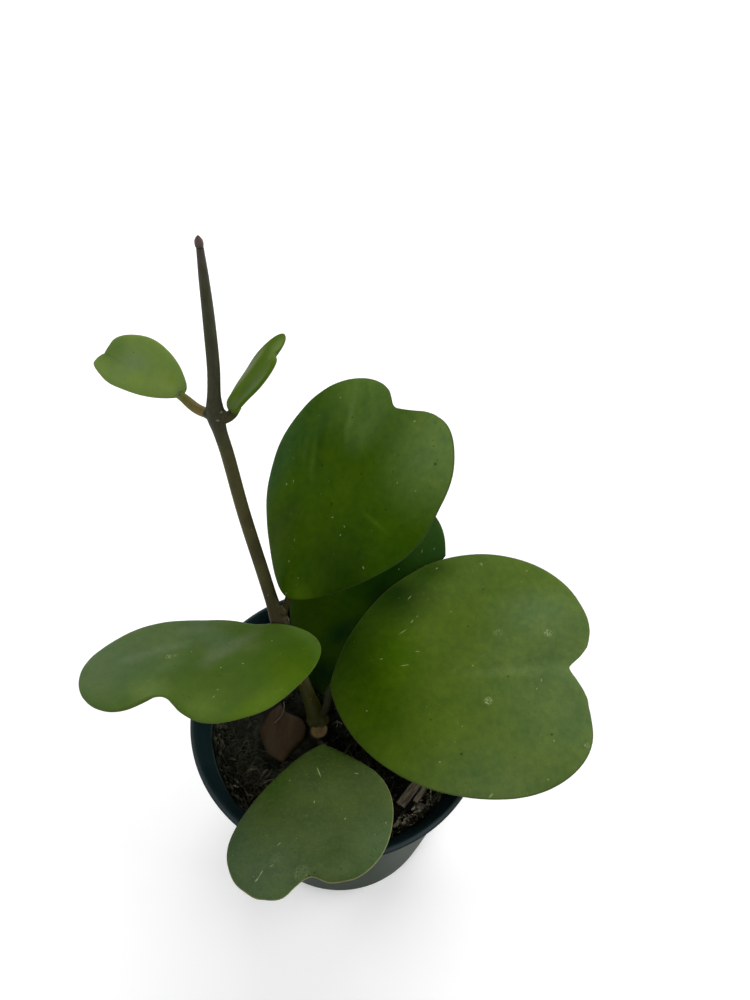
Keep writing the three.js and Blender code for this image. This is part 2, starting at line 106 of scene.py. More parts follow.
# Shreds that stand out one by one, beside the fork, over the chips and the orange root tip at the left:
# start, way, length, radius and tone
CLEAR_SHREDS = [
    ((-2.6, 1.9), -0.2, 4.5, 0.3, 0.72), ((-1.2, 0.6), 0.5, 3.5, 0.2, 0.78),
    ((-4.6, -4.6), -0.9, 4.5, 0.3, 0.7), ((-2.4, -4.8), 0.6, 4, 0.2, 0.62),
    ((2.6, -5.2), -0.8, 4, 0.25, 0.68), ((9.4, -9.6), -1.2, 4, 0.3, 0.7), ((12, -11), 1.2, 4.5, 0.3, 0.74),
    ((4.4, -5.6), 0.9, 5, 0.2, 0.6), ((28, -20.5), 0.8, 9, 0.9, 0.6), ((24, -18.5), 0.4, 4, 0.2, 0.75),
    ((-38.6, -22.6), -0.9, 3.2, 0.45, 0.85), ((21, -37.4), 0.5, 4.2, 0.8, 0.86),
    ((24.5, -37.6), 0.6, 3, 0.55, 0.9),
]
CHUNK_CORNERS = [(-0.9, 11.9), (1.2, 8.2), (7.1, 5.9), (9.5, 2.4), (8.8, -1.6), (3.7, -7.2),
                 (1.3, -11.2), (-5.3, -7.6), (-7.3, -2.8), (-8.9, 1.6), (-5.5, 8.2)]
HAIR_ROUTE = [(-21.4, 9.4, 78.1), (-21.0, 7, 78.6), (-21.9, 3.4, 78.7), (-24.2, 0.6, 78.2)]
# Chips: place, sizes and the way of the grain
CHIPS = {
    "wood_chip_long": ((26.9, -25.4, 75.6), (11, 3.6, 2), 55),
    "wood_chip_short": ((31.2, -25.2, 75.4), (7.5, 2.1, 1.8), 57),
}

# Stem: the cutting, and the shoot's way up to the foot of its bud
CUTTING_FOOT = (-9.2, -3.6, 56)
CUTTING_TOP = (-7.1, -3, 84)
CUTTING_RADIUS = 3.4
CUT_FACE = (-7.2, -3.1, 80.8)
CUT_TILT = (8, -8)
CUT_RADIUS = 3.25
STEM_ROUTE = [
    (-7.9, -1.2, 73.5), (-8.4, 1.8, 80.6), (-12.8, 9.8, 91), (-22.7, 27.3, 108.3), (-29.3, 41, 123.7),
    (-35.6, 53.6, 141.4), (-40.5, 64.3, 160.5), (-44.2, 71.4, 175.5), (-44, 78.2, 191.3),
    (-44.5, 84.3, 208.1), (-44.7, 86.4, 219), (-44.8, 87.9, 237),
]
NODE_INDEX = (1, 3, 7)
NODE_SWELL = (1, 0.8, 0.95)
NODE_REACH = (8, 5.5, 5)
STEM_RADIUS = 2.45
SHOOT_RADIUS = 2.3
TIP_RADIUS = 1.25
STEM_VOXEL = 0.4
# Boss under each petiole at the top node, then the worn bosses at the other two: place, radii, seed
BOSSES = [
    ((-46, 71.4, 175.2), (2.7, 2.3, 2.3), 3), ((-42.2, 70.9, 175.2), (2.7, 2.2, 2.3), 5),
    ((-20.9, 27.2, 108.4), (2.4, 2.3, 3.2), 9), ((-21.5, 29.7, 111.4), (2, 2, 3), 21),
    ((-7.8, 0.8, 81), (2.7, 2.7, 2.3), 13), ((-10, 0.8, 80.9), (2.2, 2.5, 2.2), 17),
    ((-5.8, 0.8, 81.1), (2.3, 2.6, 2.2), 19),
]
# Sleeping buds, leaf scars and the two glands where a blade meets its petiole: place, radii, tone
KNOBS = [
    ((-43.1, 68, 175.8), (0.7, 0.35, 0.3), 0.85), ((-41.85, 70.05, 177.75), (0.5, 0.4, 0.5), 0.8),
    ((-19.15, 27, 110.4), (0.22, 0.22, 0.8), 0.7), ((-20, 34, 117.7), (0.45, 0.3, 0.35), 0.9),
    ((-57.4, 76.6, 178.8), (0.55, 0.5, 0.4), 0.8), ((-56.6, 77.9, 179.3), (0.55, 0.5, 0.4), 0.8),
]


def side(width, widest, lobe, base_angle, belly, fullness, notch_angle):
    """One side of a blade. widest, lobe, belly and fullness are shares of its length or width."""
    return SimpleNamespace(width=width, widest=widest, lobe=lobe, base_angle=base_angle, belly=belly,
                           fullness=fullness, notch_angle=notch_angle)


def leaf(base, aim, bends, sizes, left, right, petiole, radius, wave, young=False, bay=(), nudges=()):
    """aim is heading, rise and roll; bends are along and across; sizes are length, lobe shift, notch.

    wave is the height of the waves at the margin and their number. bay holds places across and along
    the blade that its margin passes at the notch. Each nudge moves the margin near a place: the place,
    the move across and along, and how far it is felt.
    """
    return SimpleNamespace(
        base=base, heading=aim[0], rise=aim[1], roll=aim[2], bend=bends[0], cup=bends[1],
        length=sizes[0], lobe_shift=sizes[1], notch=sizes[2], left=left, right=right,
        petiole=petiole, petiole_radius=radius, wave=wave[0], waves=wave[1], young=young, bay=bay,
        nudges=nudges)


LEAVES = {
    "leaf_right": leaf(
        (-3.6, 8.4, 95.2), (2.2, 11.8, -4), (0.27, -0.08), (97.2, -1.9, 8.4),
        side(52.2, 0.61, 0.39, 77, 0.47, 0.55, 49), side(46.1, 0.64, 0.47, 81, 0.61, 0.52, 58),
        [(-7.8, 0.8, 79.5), (-4.7, 3.6, 87)], 1.5, (0.6, 5),
        bay=[(13.5, 94.7), (11.1, 94.5), (8.8, 93.7), (6.6, 92.7), (4.5, 91.6), (3, 90.9), (1.5, 90.1),
             (0.1, 89.5), (-1.5, 89.2), (-2.7, 90.1), (-4.3, 91.9), (-5.9, 93.7), (-7.8, 95.4),
             (-9.6, 96.8), (-11.5, 97.6), (-14.5, 98.4)],
        nudges=[(-29, 97.3, 0.5, -0.8, 9)]),
    "leaf_upper": leaf(
        (-20.3, 33.5, 116), (50.4, 50.5, 14.7), (0.26, -0.06), (87.4, 1.5, 4.6),
        side(40.8, 0.56, 0.25, 97, 0.28, 0.52, 78), side(37.8, 0.61, 0.48, 80, 0.27, 0.37, 65),
        [(-22, 27, 106.8), (-20.9, 29.3, 111.4)], 1.25, (0.5, 4),
        bay=[(16.3, 88.8), (13.9, 88.6), (11.4, 88), (9.1, 87.2), (5.4, 85.2), (2.2, 83.5), (0.3, 82.6),
             (-0.9, 82.15), (-2, 82.15), (-3, 82.5), (-3.9, 83), (-5.8, 84.1), (-8.4, 85.3), (-10.3, 85.6)],
        nudges=[(-4, 84.2, -0.35, -0.55, 6), (-38, 58, 0.4, 0, 18), (33, 76, 0.3, 0.2, 8),
                (36.7, 64.5, -0.4, 0, 6), (-32.7, 24.7, -0.6, -0.4, 8)]),
    "leaf_left": leaf(
        (-26, 25, 111), (224.5, 12.3, -17.7), (0.03, -0.05), (60.4, 9.4, 10.2),
        side(33, 0.45, 0.18, 128, 1, 0.7, 6), side(38.7, 0.75, 0.33, 54, 0.68, 0.5, 4.7),
        [(-22, 27, 106.8), (-24, 25.9, 108)], 1.3, (0.5, 4),
        bay=[(18.3, 69.2), (15.3, 69.5), (12.4, 69.3), (9.8, 68.5), (7.4, 67.2), (5.1, 65), (3.4, 62.2),
             (2.3, 58.8), (1.7, 55.4), (0.9, 53), (-1.2, 50.9), (-3.9, 50.1), (-7.5, 50.4), (-11.7, 50.8),
             (-15.8, 50.2), (-19.7, 49), (-22.6, 47.1), (-25.7, 44.2), (-28.2, 41), (-30.5, 37)],
        nudges=[(22.8, 16.1, -0.9, 0.7, 12), (5, 2.5, -0.4, 0.9, 5)]),
    "leaf_front": leaf(
        (-5.1, -12, 88.3), (264, 20, -8.5), (0.13, -0.03), (61.7, 4, 3.3),
        side(28.9, 0.53, 0.53, 68, 0.52, 0.55, 42), side(26.4, 0.73, 0.37, 50, 0.3, 0.42, 36),
        [(-7.6, -3.4, 76), (-6.5, -8.6, 81.2)], 1.35, (0.6, 6),
        bay=[(24.9, 53.5), (23.7, 56.2), (21.8, 59.1), (19.5, 61.2), (17.3, 62.8), (14.8, 64.6),
             (12.5, 65.6), (10.6, 65.65), (8.6, 65.65), (6.7, 65.3), (4.6, 64.3), (3.1, 62.9), (1.7, 61.3),
             (0.2, 59.9), (-1.2, 58.6), (-3, 57.4), (-4.3, 56.9), (-5.8, 57), (-7, 57.4), (-8.6, 57.9),
             (-10, 58.2), (-11.7, 58.2), (-13.6, 58), (-15.3, 57.7), (-16.8, 57.5)]),
    "leaf_behind": leaf(
        (-6.4, 7.9, 84.6), (50.2, 16.1, -5.3), (0.21, -0.05), (79, -8.5, 4.2),
        side(44.4, 0.57, 0.47, 75, 0.43, 0.56, 43), side(29.8, 0.66, 0.35, 75, 0.46, 0.55, 40),
        [(-8.5, -0.8, 75.5), (-7.6, 4.6, 79.4)], 1.3, (0.4, 3),
        nudges=[(-4, 79, 0.3, 0.4, 7), (-6, 1.5, -1, -1.5, 3.5), (2, 0.8, -0.5, 2.4, 3.5)]),
    "leaf_small_left": leaf(
        (-56.2, 77, 177.8), (157.7, 17.7, 18), (0.1, 0.05), (31.6, -0.7, 0.8),
        side(8.2, 0.62, 0.53, 87, 0.19, 0.5, 43), side(12.4, 0.54, 0.37, 103, 0.46, 0.47, 40),
        [(-44.6, 71.2, 174.4), (-50.6, 73.3, 175.2)], 1.85, (0.25, 3), young=True,
        nudges=[(3, 0.3, 0.1, -0.6, 3), (-7.9, 24, -0.8, 0, 4.5), (12.2, 20, 0.4, 0, 5)]),
    "leaf_small_right": leaf(
        (-39.1, 71.6, 175.6), (40, 39.6, 30.3), (0.05, 0.14), (29.4, -3.5, 2),
        side(9.4, 0.62, 0.45, 97, 0.86, 0.49, 10), side(8.7, 0.62, 0.3, 76, 0.38, 0.53, 38),
        [(-44.4, 70.8, 173.6), (-41.2, 70.3, 174)], 1.9, (0.2, 3), young=True,
        nudges=[(2.9, 2.1, 0.6, 0.2, 2.5), (-3.6, 2.4, -2.2, -0.6, 2.6), (7, 9, -1.4, -0.3, 4.5),
                (7.1, 23.4, -1.2, -0.3, 5), (-9.3, 12.8, 0.7, 0.1, 6)]),
}

# Arm of a quarter circle's curve, and the blade's middle and drawing in as shares of its length and size
ROUND_ARC = 0.5523
BLADE_HUB = 0.52
BLADE_INSET = 0.998
GROOVE_DEPTH = 0.2
GROOVE_WIDTH = 3
# Thickness, groove depth and roughness of a blade
OLD_BLADE = (2.3, GROOVE_DEPTH, 1)
YOUNG_BLADE = (1.7, 0, 0.3)
# How far the petiole runs under the midrib, how much it thins, and the share where its brown skin ends
OLD_PETIOLE = (-1.4, 0.55, 0.8)
YOUNG_PETIOLE = (-0.9, 0.25, 0.9)
PETIOLE_STEPS = 40
PETIOLE_SIDES = 22


def look(skin, washes_and_painted_light=(), flecks=(), pits=(), rings=(), scurf=(), **more):
    """How one leaf looks; more changes the common values below."""
    common = dict(back=(70, 92, 30), rim=(66, 70, 36), rim_strength=0.6, rim_start=0.985,
                  stalk=(66, 68, 30), stalk_brown=(60, 48, 28), fleck=(150, 165, 112),
                  dust=(112, 122, 84), dusty=0.0, grain=0.6, mottle=1.0, roughness=0.4, sheen=0.02)
    return SimpleNamespace(skin=skin, washes_and_painted_light=washes_and_painted_light, flecks=flecks, pits=pits, rings=rings, scurf=scurf,
                           **{**common, **more})


# Marks by their place across and along the blade. Washes: place, half width, half length, turn if it
# isn't 0, colour, strength; besides the leaf's own greens they hold painted light: dark washes are painted
# shade and shadow where other leaves shade a leaf, grey and whitish ones painted sheen and highlights.
# Flecks: place, half width, half length, turn if it isn't 0. Pits and rings: place, radius. Scurf: place,
# radius, strength.
LEAF_LOOKS = {
    "leaf_right": look(
        (73, 96, 30),
        # Painted light: the grey washes on the outer lobes and right side are painted sheen; the dark ones at
        # the base and upper left are painted shadow of the upper leaf.
        washes_and_painted_light=[
            (8, 92, 62, 54, (84, 106, 61), 1), (46, 60, 32, 44, (84, 105, 59), 0.9),
            (-44, 62, 22, 40, (74, 98, 36), 0.6), (-8, 66, 12, 12, (86, 108, 56), 0.5),
            (-24, 80, 16, 24, (94, 118, 74), 0.6), (0, 68, 3.5, 26, (98, 120, 70), 0.4),
            (4, 16, 50, 30, (50, 76, 0), 1), (-12, 24, 22, 14, 20, (60, 90, 0), 0.7),
            (-20, 4, 40, 30, (22, 46, 0), 1), (-36, 26, 20, 24, 20, (18, 42, 0), 1),
            (-46, 40, 12, 17, 14, (34, 60, 0), 0.85),
        ],
        flecks=[
            (-45.8, 42.8, 0.3, 0.8, 40), (-33.2, 31.6, 0.25, 1.5, 50), (-18.7, 28.5, 0.22, 2.4, 30),
            (-22.7, 32.1, 0.3, 1.2, 50), (-24.6, 34.2, 0.25, 0.7, 50), (-4.6, 28.5, 0.22, 2.3, 6),
            (-9.9, 33.6, 0.22, 1.2, -4), (-46.6, 60.4, 0.3, 0.9, 60), (-47.2, 60, 0.25, 0.7),
            (-43.3, 77.8, 0.4, 0.5, 40), (-2.9, 53.5, 0.35, 0.45), (32.4, 39.2, 0.35, 0.5),
            (-25.7, 47, 0.35, 0.35), (40.1, 76.9, 0.35, 0.5), (26.5, 80.3, 0.4, 0.5, 90),
            (3.8, 78, 0.35, 0.8, 90), (-38, 75, 0.3, 0.3), (7, 76, 0.25, 0.7, 60),
            (44.6, 56.4, 0.5, 1.4, 40), (20, 48, 0.3, 0.3), (-8, 20, 0.25, 0.8, 10), (12, 14, 0.3, 0.5),
        ],
        pits=[(24.2, 79.7, 0.7), (-35, 60, 0.6), (-19, 53, 0.6), (30, 47, 0.8), (17, 37, 0.5),
              (2, 66, 0.6)],
        rings=[(9.6, 78.1, 3.8), (14.9, 62.9, 1.8), (19.2, 61.4, 1.7), (-17.3, 73.7, 2.4),
               (-4.8, 78.5, 1.6), (8, 69, 1.5), (24, 66, 1.6), (36, 70, 2)],
        scurf=[(-15.3, 82.5, 2.0, 0.6), (-16, 64, 2.2, 0.25), (11.1, 58.2, 2.0, 0.7),
               (28.2, 92.1, 1.4, 0.5)],
        stalk=(46, 48, 32), stalk_brown=(40, 38, 25),
        rim=(64, 70, 34)),
    "leaf_upper": look(
        (50, 78, 0),
        # Painted light: the greys at the top lobes and the bluish band at the left margin are painted sheen,
        # the thin pale streaks painted highlights, and the dark lower part painted shade.
        washes_and_painted_light=[
            (26, 84, 34, 36, (94, 120, 62), 1), (-16, 84, 34, 30, (78, 106, 44), 1),
            (22, 20, 36, 34, (30, 54, 0), 1), (36, 44, 14, 20, (40, 70, 0), 0.7),
            (-38, 36, 16, 40, (44, 74, 34), 0.9), (-17, 71, 2.6, 17, 33, (88, 114, 56), 0.6),
            (-12, 74, 3.4, 14, 33, (52, 82, 20), 0.6), (-22, 56, 4.5, 18, 33, (36, 64, 0), 0.7),
            (-19, 47, 2.2, 14, 33, (66, 94, 26), 0.5), (-26, 50, 2, 12, 33, (62, 90, 30), 0.4),
            (19, 46, 1.4, 10, 90, (68, 98, 18), 0.5), (-7, 70, 11, 16, (80, 108, 52), 0.6),
            (-26, 62, 7, 14, 10, (52, 80, 24), 0.6), (-17, 22, 10, 18, (44, 62, 14), 0.6),
            (6, 6, 14, 8, (62, 88, 6), 0.7),
        ],
        flecks=[
            (2.4, 36.9, 0.3, 0.7, -40), (9.4, 34, 0.35, 0.55), (8.9, 37.4, 0.2, 0.8, 60),
            (24.8, 30.8, 0.35, 0.8, 60), (-25.1, 72, 0.45, 0.45), (9.1, 82.4, 0.5, 0.7, -60),
            (-24.8, 33.7, 0.6, 0.5), (-22.5, 36.5, 0.25, 0.8, 30), (-5.6, 12.2, 0.35, 0.6),
            (18, 62, 0.3, 0.5), (26, 64, 0.3, 0.4), (2, 10, 0.3, 0.4), (-8, 20, 0.25, 0.6, 20),
        ],
        pits=[(-14.3, 48.6, 0.6), (-14.6, 69.3, 0.6), (26.5, 75.5, 0.8), (-1, 40.4, 0.8), (14, 64, 0.5),
              (5, 62, 0.5), (20, 52, 0.5), (30, 68, 0.4), (22, 80, 0.4), (3, 56, 0.5), (12, 70, 0.4)],
        stalk=(46, 42, 20), stalk_brown=(38, 35, 16),
        rim=(50, 62, 36)),
    "leaf_left": look(
        (64, 88, 31),
        # Painted light: the grey washes at the left and middle and the whitish streaks are painted sheen and
        # highlights.
        washes_and_painted_light=[
            (27, 52, 34, 50, (78, 98, 65), 1), (20, 18, 18, 26, (77, 97, 62), 0.9),
            (-26, 7, 32, 28, (54, 82, 0), 1), (-26, 12, 16, 14, (64, 90, 0), 0.8),
            (-22, 2, 14, 10, (52, 80, 0), 0.6), (4, 20, 12, 10, (84, 104, 84), 0.4),
            (-30, 32, 8, 26, 4, (80, 108, 14), 0.6), (-18, 44, 13, 13, (84, 108, 44), 0.7),
            (3, 52, 14, 10, (92, 114, 60), 0.7), (-1, 16, 5, 16, (90, 104, 74), 0.6),
            (0, 27, 6, 10, 10, (84, 100, 70), 0.6), (-6, 13, 7, 7, (80, 98, 52), 0.5),
            (16.5, 33.5, 4, 12, -30, (90, 108, 80), 0.5), (21, 44, 4, 13, -25, (90, 108, 80), 0.5),
            (17, 21, 4.5, 12, -52, (88, 106, 76), 0.5), (9, 40, 5, 9, -20, (84, 104, 66), 0.4),
            (7.3, 22.9, 2.4, 5, -20, (60, 78, 40), 0.3), (-8, 24, 5, 9, (60, 84, 34), 0.4),
        ],
        flecks=[
            (-10.9, 21.6, 0.35, 0.55), (-6.6, 28.1, 0.4, 0.4), (-14.2, 35.7, 0.35, 0.5),
            (-15.7, 38.7, 0.25, 0.8, 20), (-8.9, 6.4, 0.3, 0.4), (8.2, 29.7, 0.3, 0.4),
        ],
        pits=[(2.8, 16.9, 0.35), (3.5, 13.6, 0.35), (0.2, 16.7, 0.35), (6.7, 38.3, 0.45),
              (-9.4, 30.9, 0.45), (5, 15, 0.3), (1.5, 19, 0.3)],
        scurf=[(12.4, 36.7, 1.7, 0.3), (11.2, 34.6, 1.1, 0.2)],
        mottle=0.6, rim=(80, 88, 44), rim_strength=0.45),
    "leaf_front": look(
        (60, 76, 38),
        # Painted light: the dark wash at the base is painted shade near the stem; the greyer washes further
        # out are partly painted sheen.
        washes_and_painted_light=[
            (12, 60, 28, 28, (65, 83, 57), 1), (-4, 6, 28, 18, (44, 62, 16), 1),
            (14, 20, 9, 18, (46, 72, 14), 0.7), (23, 46, 8, 26, (54, 76, 56), 0.5),
            (-5, 41, 10, 12, (66, 82, 46), 0.8), (-27, 43, 18, 22, (66, 86, 54), 0.9),
            (-14, 54, 10, 8, (70, 88, 56), 0.6), (6, 62, 10, 8, (72, 90, 56), 0.7),
        ],
        flecks=[
            (-0.7, 14.5, 0.28, 3.2, 25), (-14.2, 14.4, 0.28, 1.1, 80), (-1, 27.7, 0.3, 0.8),
            (8.5, 45.2, 0.22, 1.1, -45), (12.8, 55.9, 0.25, 1.2, -30), (13.9, 58.7, 0.45, 1.1, -35),
            (9.7, 53.4, 0.18, 1, -45), (9.2, 18.6, 0.35, 0.35), (-12.7, 34.4, 0.3, 0.5),
            (-26.6, 34.8, 0.3, 0.35), (13.2, 57.3, 0.15, 1.8, -30),
        ],
        pits=[(-3.3, 56.7, 0.6), (-5, 55.5, 0.5)],
        scurf=[(-0.7, 55.6, 3.4, 0.16), (8.2, 50.6, 2.6, 0.08)],
        dusty=0.1, mottle=0.8, rim=(132, 130, 88), rim_strength=0.75, rim_start=0.99, roughness=0.5,
        stalk=(44, 46, 34), stalk_brown=(30, 28, 18)),
    "leaf_behind": look(
        (30, 52, 0),
        # Painted light: the very dark washes are painted shade under the leaves above, and the dark strip
        # near the middle is painted shadow of the right leaf's edge.
        washes_and_painted_light=[
            (-20, 60, 50, 46, (8, 34, 0), 1), (-8, 80, 30, 26, (34, 62, 18), 1),
            (-10, 45, 8, 10, (4, 22, 4), 0.7), (8, 0, 30, 22, (18, 32, 0), 1),
            (-14, 16, 8, 12, (32, 54, 0), 0.6), (-22, 26, 6, 16, (40, 54, 2), 0.25),
            (-11, 24, 7, 14, -20, (8, 34, 12), 0.8), (-6, 8, 12, 10, (6, 26, 10), 0.8),
        ],
        flecks=[
            (-30, 52, 0.3, 0.9, 40), (-25, 40, 0.3, 0.8, 80), (-34, 60, 0.6, 0.9, 30),
            (-8, 70, 0.3, 1.2, 30), (-12, 66, 0.25, 0.9, 60), (-5, 74, 0.35, 0.8, 10),
            (-16, 60, 0.25, 1, 80), (-10, 58, 0.3, 0.6), (-20, 66, 0.3, 1.1, 40), (-14, 74, 0.25, 0.9, 120),
            (-3, 66, 0.3, 0.5), (-24, 58, 0.2, 1.4, 20),
        ],
        stalk=(26, 28, 12), stalk_brown=(22, 20, 10),
        fleck=(96, 116, 78), rim=(46, 58, 30)),
    "leaf_small_left": look(
        (104, 129, 64),
        washes_and_painted_light=[
            (2, 20, 8, 10, (102, 125, 82), 0.9), (-5, 24, 5, 8, (100, 124, 72), 0.6),
            (-2.2, 15.8, 4, 4.5, (114, 138, 62), 0.8), (0.2, 7, 6, 8, (118, 140, 72), 0.8),
            (3, 6, 3.4, 3, (104, 126, 42), 0.5), (2, 29, 9, 8, (84, 108, 54), 0.8),
        ],
        pits=[(-3.6, 9.5, 0.25), (5, 22, 0.3)], mottle=0.45, sheen=0.05,
        rim=(58, 70, 32), rim_strength=0.8, stalk=(92, 91, 46), stalk_brown=(112, 94, 58),
        back=(96, 120, 60)),
    "leaf_small_right": look(
        (70, 97, 14),
        # Painted light: the grey streak along the left side is a painted highlight.
        washes_and_painted_light=[
            (-7, 15, 2.8, 15, (124, 132, 108), 0.75), (5, 14, 5, 15, (68, 98, 20), 0.6),
            (0, 29, 7, 8, (104, 128, 66), 0.9), (0, 3, 6, 5, (90, 102, 54), 0.4),
            (0.5, 10, 4, 6, (60, 86, 4), 0.6),
        ],
        rim=(58, 74, 34), stalk=(54, 58, 32), stalk_brown=(68, 60, 42), back=(84, 112, 50), mottle=0.5),
}


# Finishes
def tint(red, green, blue):
    """A colour as seen on a screen, 0 to 255, as the numbers that a shader takes."""
    return tuple(((c / 255 + 0.055) / 1.055) ** 2.4 if c > 10 else c / 255 / 12.92
                 for c in (red, green, blue)) + (1.0,)


class Wire:
    """One output of a finish's nodes. Sums and products of wires and numbers add Math nodes."""

    def __init__(self, finish, socket):
        self.finish, self.socket = finish, socket

    def _math(self, operation, *terms):
        return self.finish.node("Math", {"operation": operation}, dict(enumerate(terms)))

    def __add__(self, other):
        return self._math("ADD", self, other)

    def __sub__(self, other):
        return self._math("SUBTRACT", self, other)

    def __mul__(self, other):
        return self._math("MULTIPLY", self, other)

    def __pow__(self, other):
        return self._math("POWER", self, other)

    def __abs__(self):
        return self._math("ABSOLUTE", self)

    __radd__ = __add__
    __rmul__ = __mul__


class Finish:
    """A material around one Principled shader. Its colour starts as one shade, and coats go over it."""

    def __init__(self, name, shade):
        self.material = bpy.data.materials.new(name)
        self.material.use_nodes = True
        self.tree = self.material.node_tree
        self.tree.nodes.clear()
        self.shader = self.tree.nodes.new("ShaderNodeBsdfPrincipled")
        output = self.tree.nodes.new("ShaderNodeOutputMaterial")
        self.tree.links.new(self.shader.outputs[0], output.inputs[0])
        self.colour = tint(*shade)

    def plug(self, target, value):
        if isinstance(value, Wire):
            self.tree.links.new(value.socket, target)
        else:
            target.default_value = value

    def node(self, kind, settings=None, inputs=None, output=0):
        made = self.tree.nodes.new("ShaderNode" + kind)
        for key, value in (settings or {}).items():
            setattr(made, key, value)
        for key, value in (inputs or {}).items():
            self.plug(made.inputs[key], value)
        return Wire(self, made.outputs[output])

    def mix(self, share, first, second, blend="MIX"):
        return self.node("Mix", {"data_type": "RGBA", "blend_type": blend},
                         {0: share, 6: first, 7: second}, 2)

    def coat(self, share, shade):
        """Lays a shade, or the colour of a wire, over the finish by a share from 0 to 1."""
        self.colour = self.mix(share, self.colour, shade if isinstance(shade, Wire) else tint(*shade))

    def ease(self, value, low, high):
        """0 below low, 1 above high, smooth between; low may be the larger of the two."""
        return self.node("MapRange", {"interpolation_type": "SMOOTHSTEP"}, {0: value, 1: low, 2: high})

    def place(self):
        return self.node("TexCoord", output="Object")

    def held(self, name, output="Fac"):
        """A number or vector that the mesh holds for each of its points."""
        return self.node("Attribute", {"attribute_name": name}, output=output)

    def parts(self, vector):
        split = self.node("SeparateXYZ", inputs={0: vector}).socket.node
        return [Wire(self, socket) for socket in split.outputs]

    def stretch(self, vector, factors):
        return self.node("VectorMath", {"operation": "MULTIPLY"}, {0: vector, 1: factors})

    def shift(self, vector, amounts):
        return self.node("VectorMath", {"operation": "ADD"}, {0: vector, 1: amounts})

    def rotate(self, vector, degrees):
        return self.node("VectorRotate", {"rotation_type": "Z_AXIS"},
                         {"Vector": vector, "Angle": math.radians(degrees)})

    def mottle(self, vector, scale, detail=3.0, roughness=0.5):
        return self.node("TexNoise", inputs={"Vector": vector, "Scale": scale, "Detail": detail,
                                             "Roughness": roughness})

    def cells(self, vector, scale):
        return self.node("TexVoronoi", inputs={"Vector": vector, "Scale": scale}, output="Distance")

    def spot(self, flat, across, along, half_width, half_length, turn=0.0, softness=0.5):
        """1 inside an oval on a leaf, 0 outside; turn is in degrees from along the leaf, to its left."""
        local = self.rotate(self.shift(flat, (-across, -along, 0)), -turn)
        local = self.stretch(local, (1 / half_width, 1 / half_length, 0))
        reach = self.node("VectorMath", {"operation": "LENGTH"}, {0: local}, 1)
        return self.ease(reach, 1.0, 1.0 - softness)

    def bump(self, height, distance, strength=1.0):
        """distance is in millimetres."""
        return self.node("Bump", inputs={"Height": height, "Distance": distance * MM, "Strength": strength})

    def done(self, **sockets):
        for name, value in {"Base_Color": self.colour, **sockets}.items():
            self.plug(self.shader.inputs[name.replace("_", " ")], value)
        return self.material


def pot_plastic():
    """Dark green plastic, browner outside below the collar, with scuffs and a little dust; a painted
    highlight on the lip, and painted light on the lower inner wall.
    """
    f = Finish("pot_plastic", (10, 25, 27))
    where = f.place()
    cloud = f.mottle(where, 38, 4)
    grain = f.mottle(f.stretch(where, (1, 1, 6)), 160, 5, 0.7)
    scuff = f.ease(f.mottle(f.stretch(where, (1, 1, 0.25)), 420, 3), 0.66, 0.74)
    dust = f.ease(f.mottle(where, 260, 6, 0.8), 0.5, 0.8) * 0.25
    across, along, height = f.parts(where)
    radius = (across ** 2 + along ** 2) ** 0.5
    outside = f.ease(radius - height * 0.155, 0.0368, 0.0376) * f.ease(height, 0.081, 0.078)
    inside = f.ease(radius, 0.0492, 0.0483) * f.ease(height, 0.0805, 0.077)
    lip = f.ease(height, 0.087, 0.0878) * f.ease(radius, 0.0531, 0.0541)
    front = f.ease(across, 0.026, 0.012)
    f.coat(f.ease(cloud, 0.35, 0.65), (16, 32, 34))
    f.coat(outside, (66, 45, 30))
    # Painted light: the lower inner wall is lightened against the shade of the crease at the soil; the coat
    # also reaches the outer body below about 65 mm.
    f.coat(inside * 0.8, (52, 66, 60))
    # Painted highlight along the outer top of the lip.
    f.coat(lip * 0.6, (66, 76, 78))
    f.coat(dust * 0.5 + scuff * 0.1, (70, 72, 64))
    rough = 0.4 + 0.16 * cloud + 0.2 * dust + outside * (0.1 + 0.15 * front)
    return f.done(Roughness=rough, Specular_IOR_Level=0.055, Normal=f.bump(grain, 0.06, 0.5))


def soil_finish():
    f = Finish("potting_mix", (25, 27, 22))
    where = f.place()
    f.coat(f.ease(f.mottle(where, 120, 6, 0.7), 0.35, 0.68), (46, 48, 38))
    f.coat(f.ease(f.mottle(where, 900, 3), 0.6, 0.72) * 0.35, (74, 68, 52))
    return f.done(Roughness=0.92, Specular_IOR_Level=0.1,
                  Normal=f.bump(f.mottle(where, 700, 6, 0.8), 0.7, 0.9))


def crumb_finish():
    """Crumbs and shreds of bark: each holds its own tone, from black to tan."""
    f = Finish("bark_crumbs", (22, 24, 18))
    tone = f.held("tone")
    grain = f.mottle(f.place(), 600, 5, 0.7)
    f.coat(f.ease(tone, 0.0, 0.5), (56, 56, 42))
    f.coat(f.ease(tone, 0.5, 0.75), (106, 101, 82))
    f.coat(f.ease(tone, 0.75, 1.0), (238, 218, 196))
    f.coat(f.ease(grain, 0.4, 0.7) * 0.5, (26, 22, 16))
    return f.done(Roughness=0.85, Specular_IOR_Level=0.15, Normal=f.bump(grain, 0.35, 0.8))


def bark_finish():
    f = Finish("bark_chunk_face", (45, 34, 19))
    where = f.place()
    streak = f.mottle(f.stretch(where, (1, 0.3, 1)), 240, 5, 0.65)
    patch = f.mottle(where, 70, 3)
    f.coat(f.ease(streak, 0.3, 0.7), (64, 48, 29))
    f.coat(f.ease(patch, 0.45, 0.7) * 0.6, (50, 43, 29))
    return f.done(Roughness=0.6 + 0.3 * patch, Specular_IOR_Level=0.15, Normal=f.bump(streak, 0.2, 0.5))


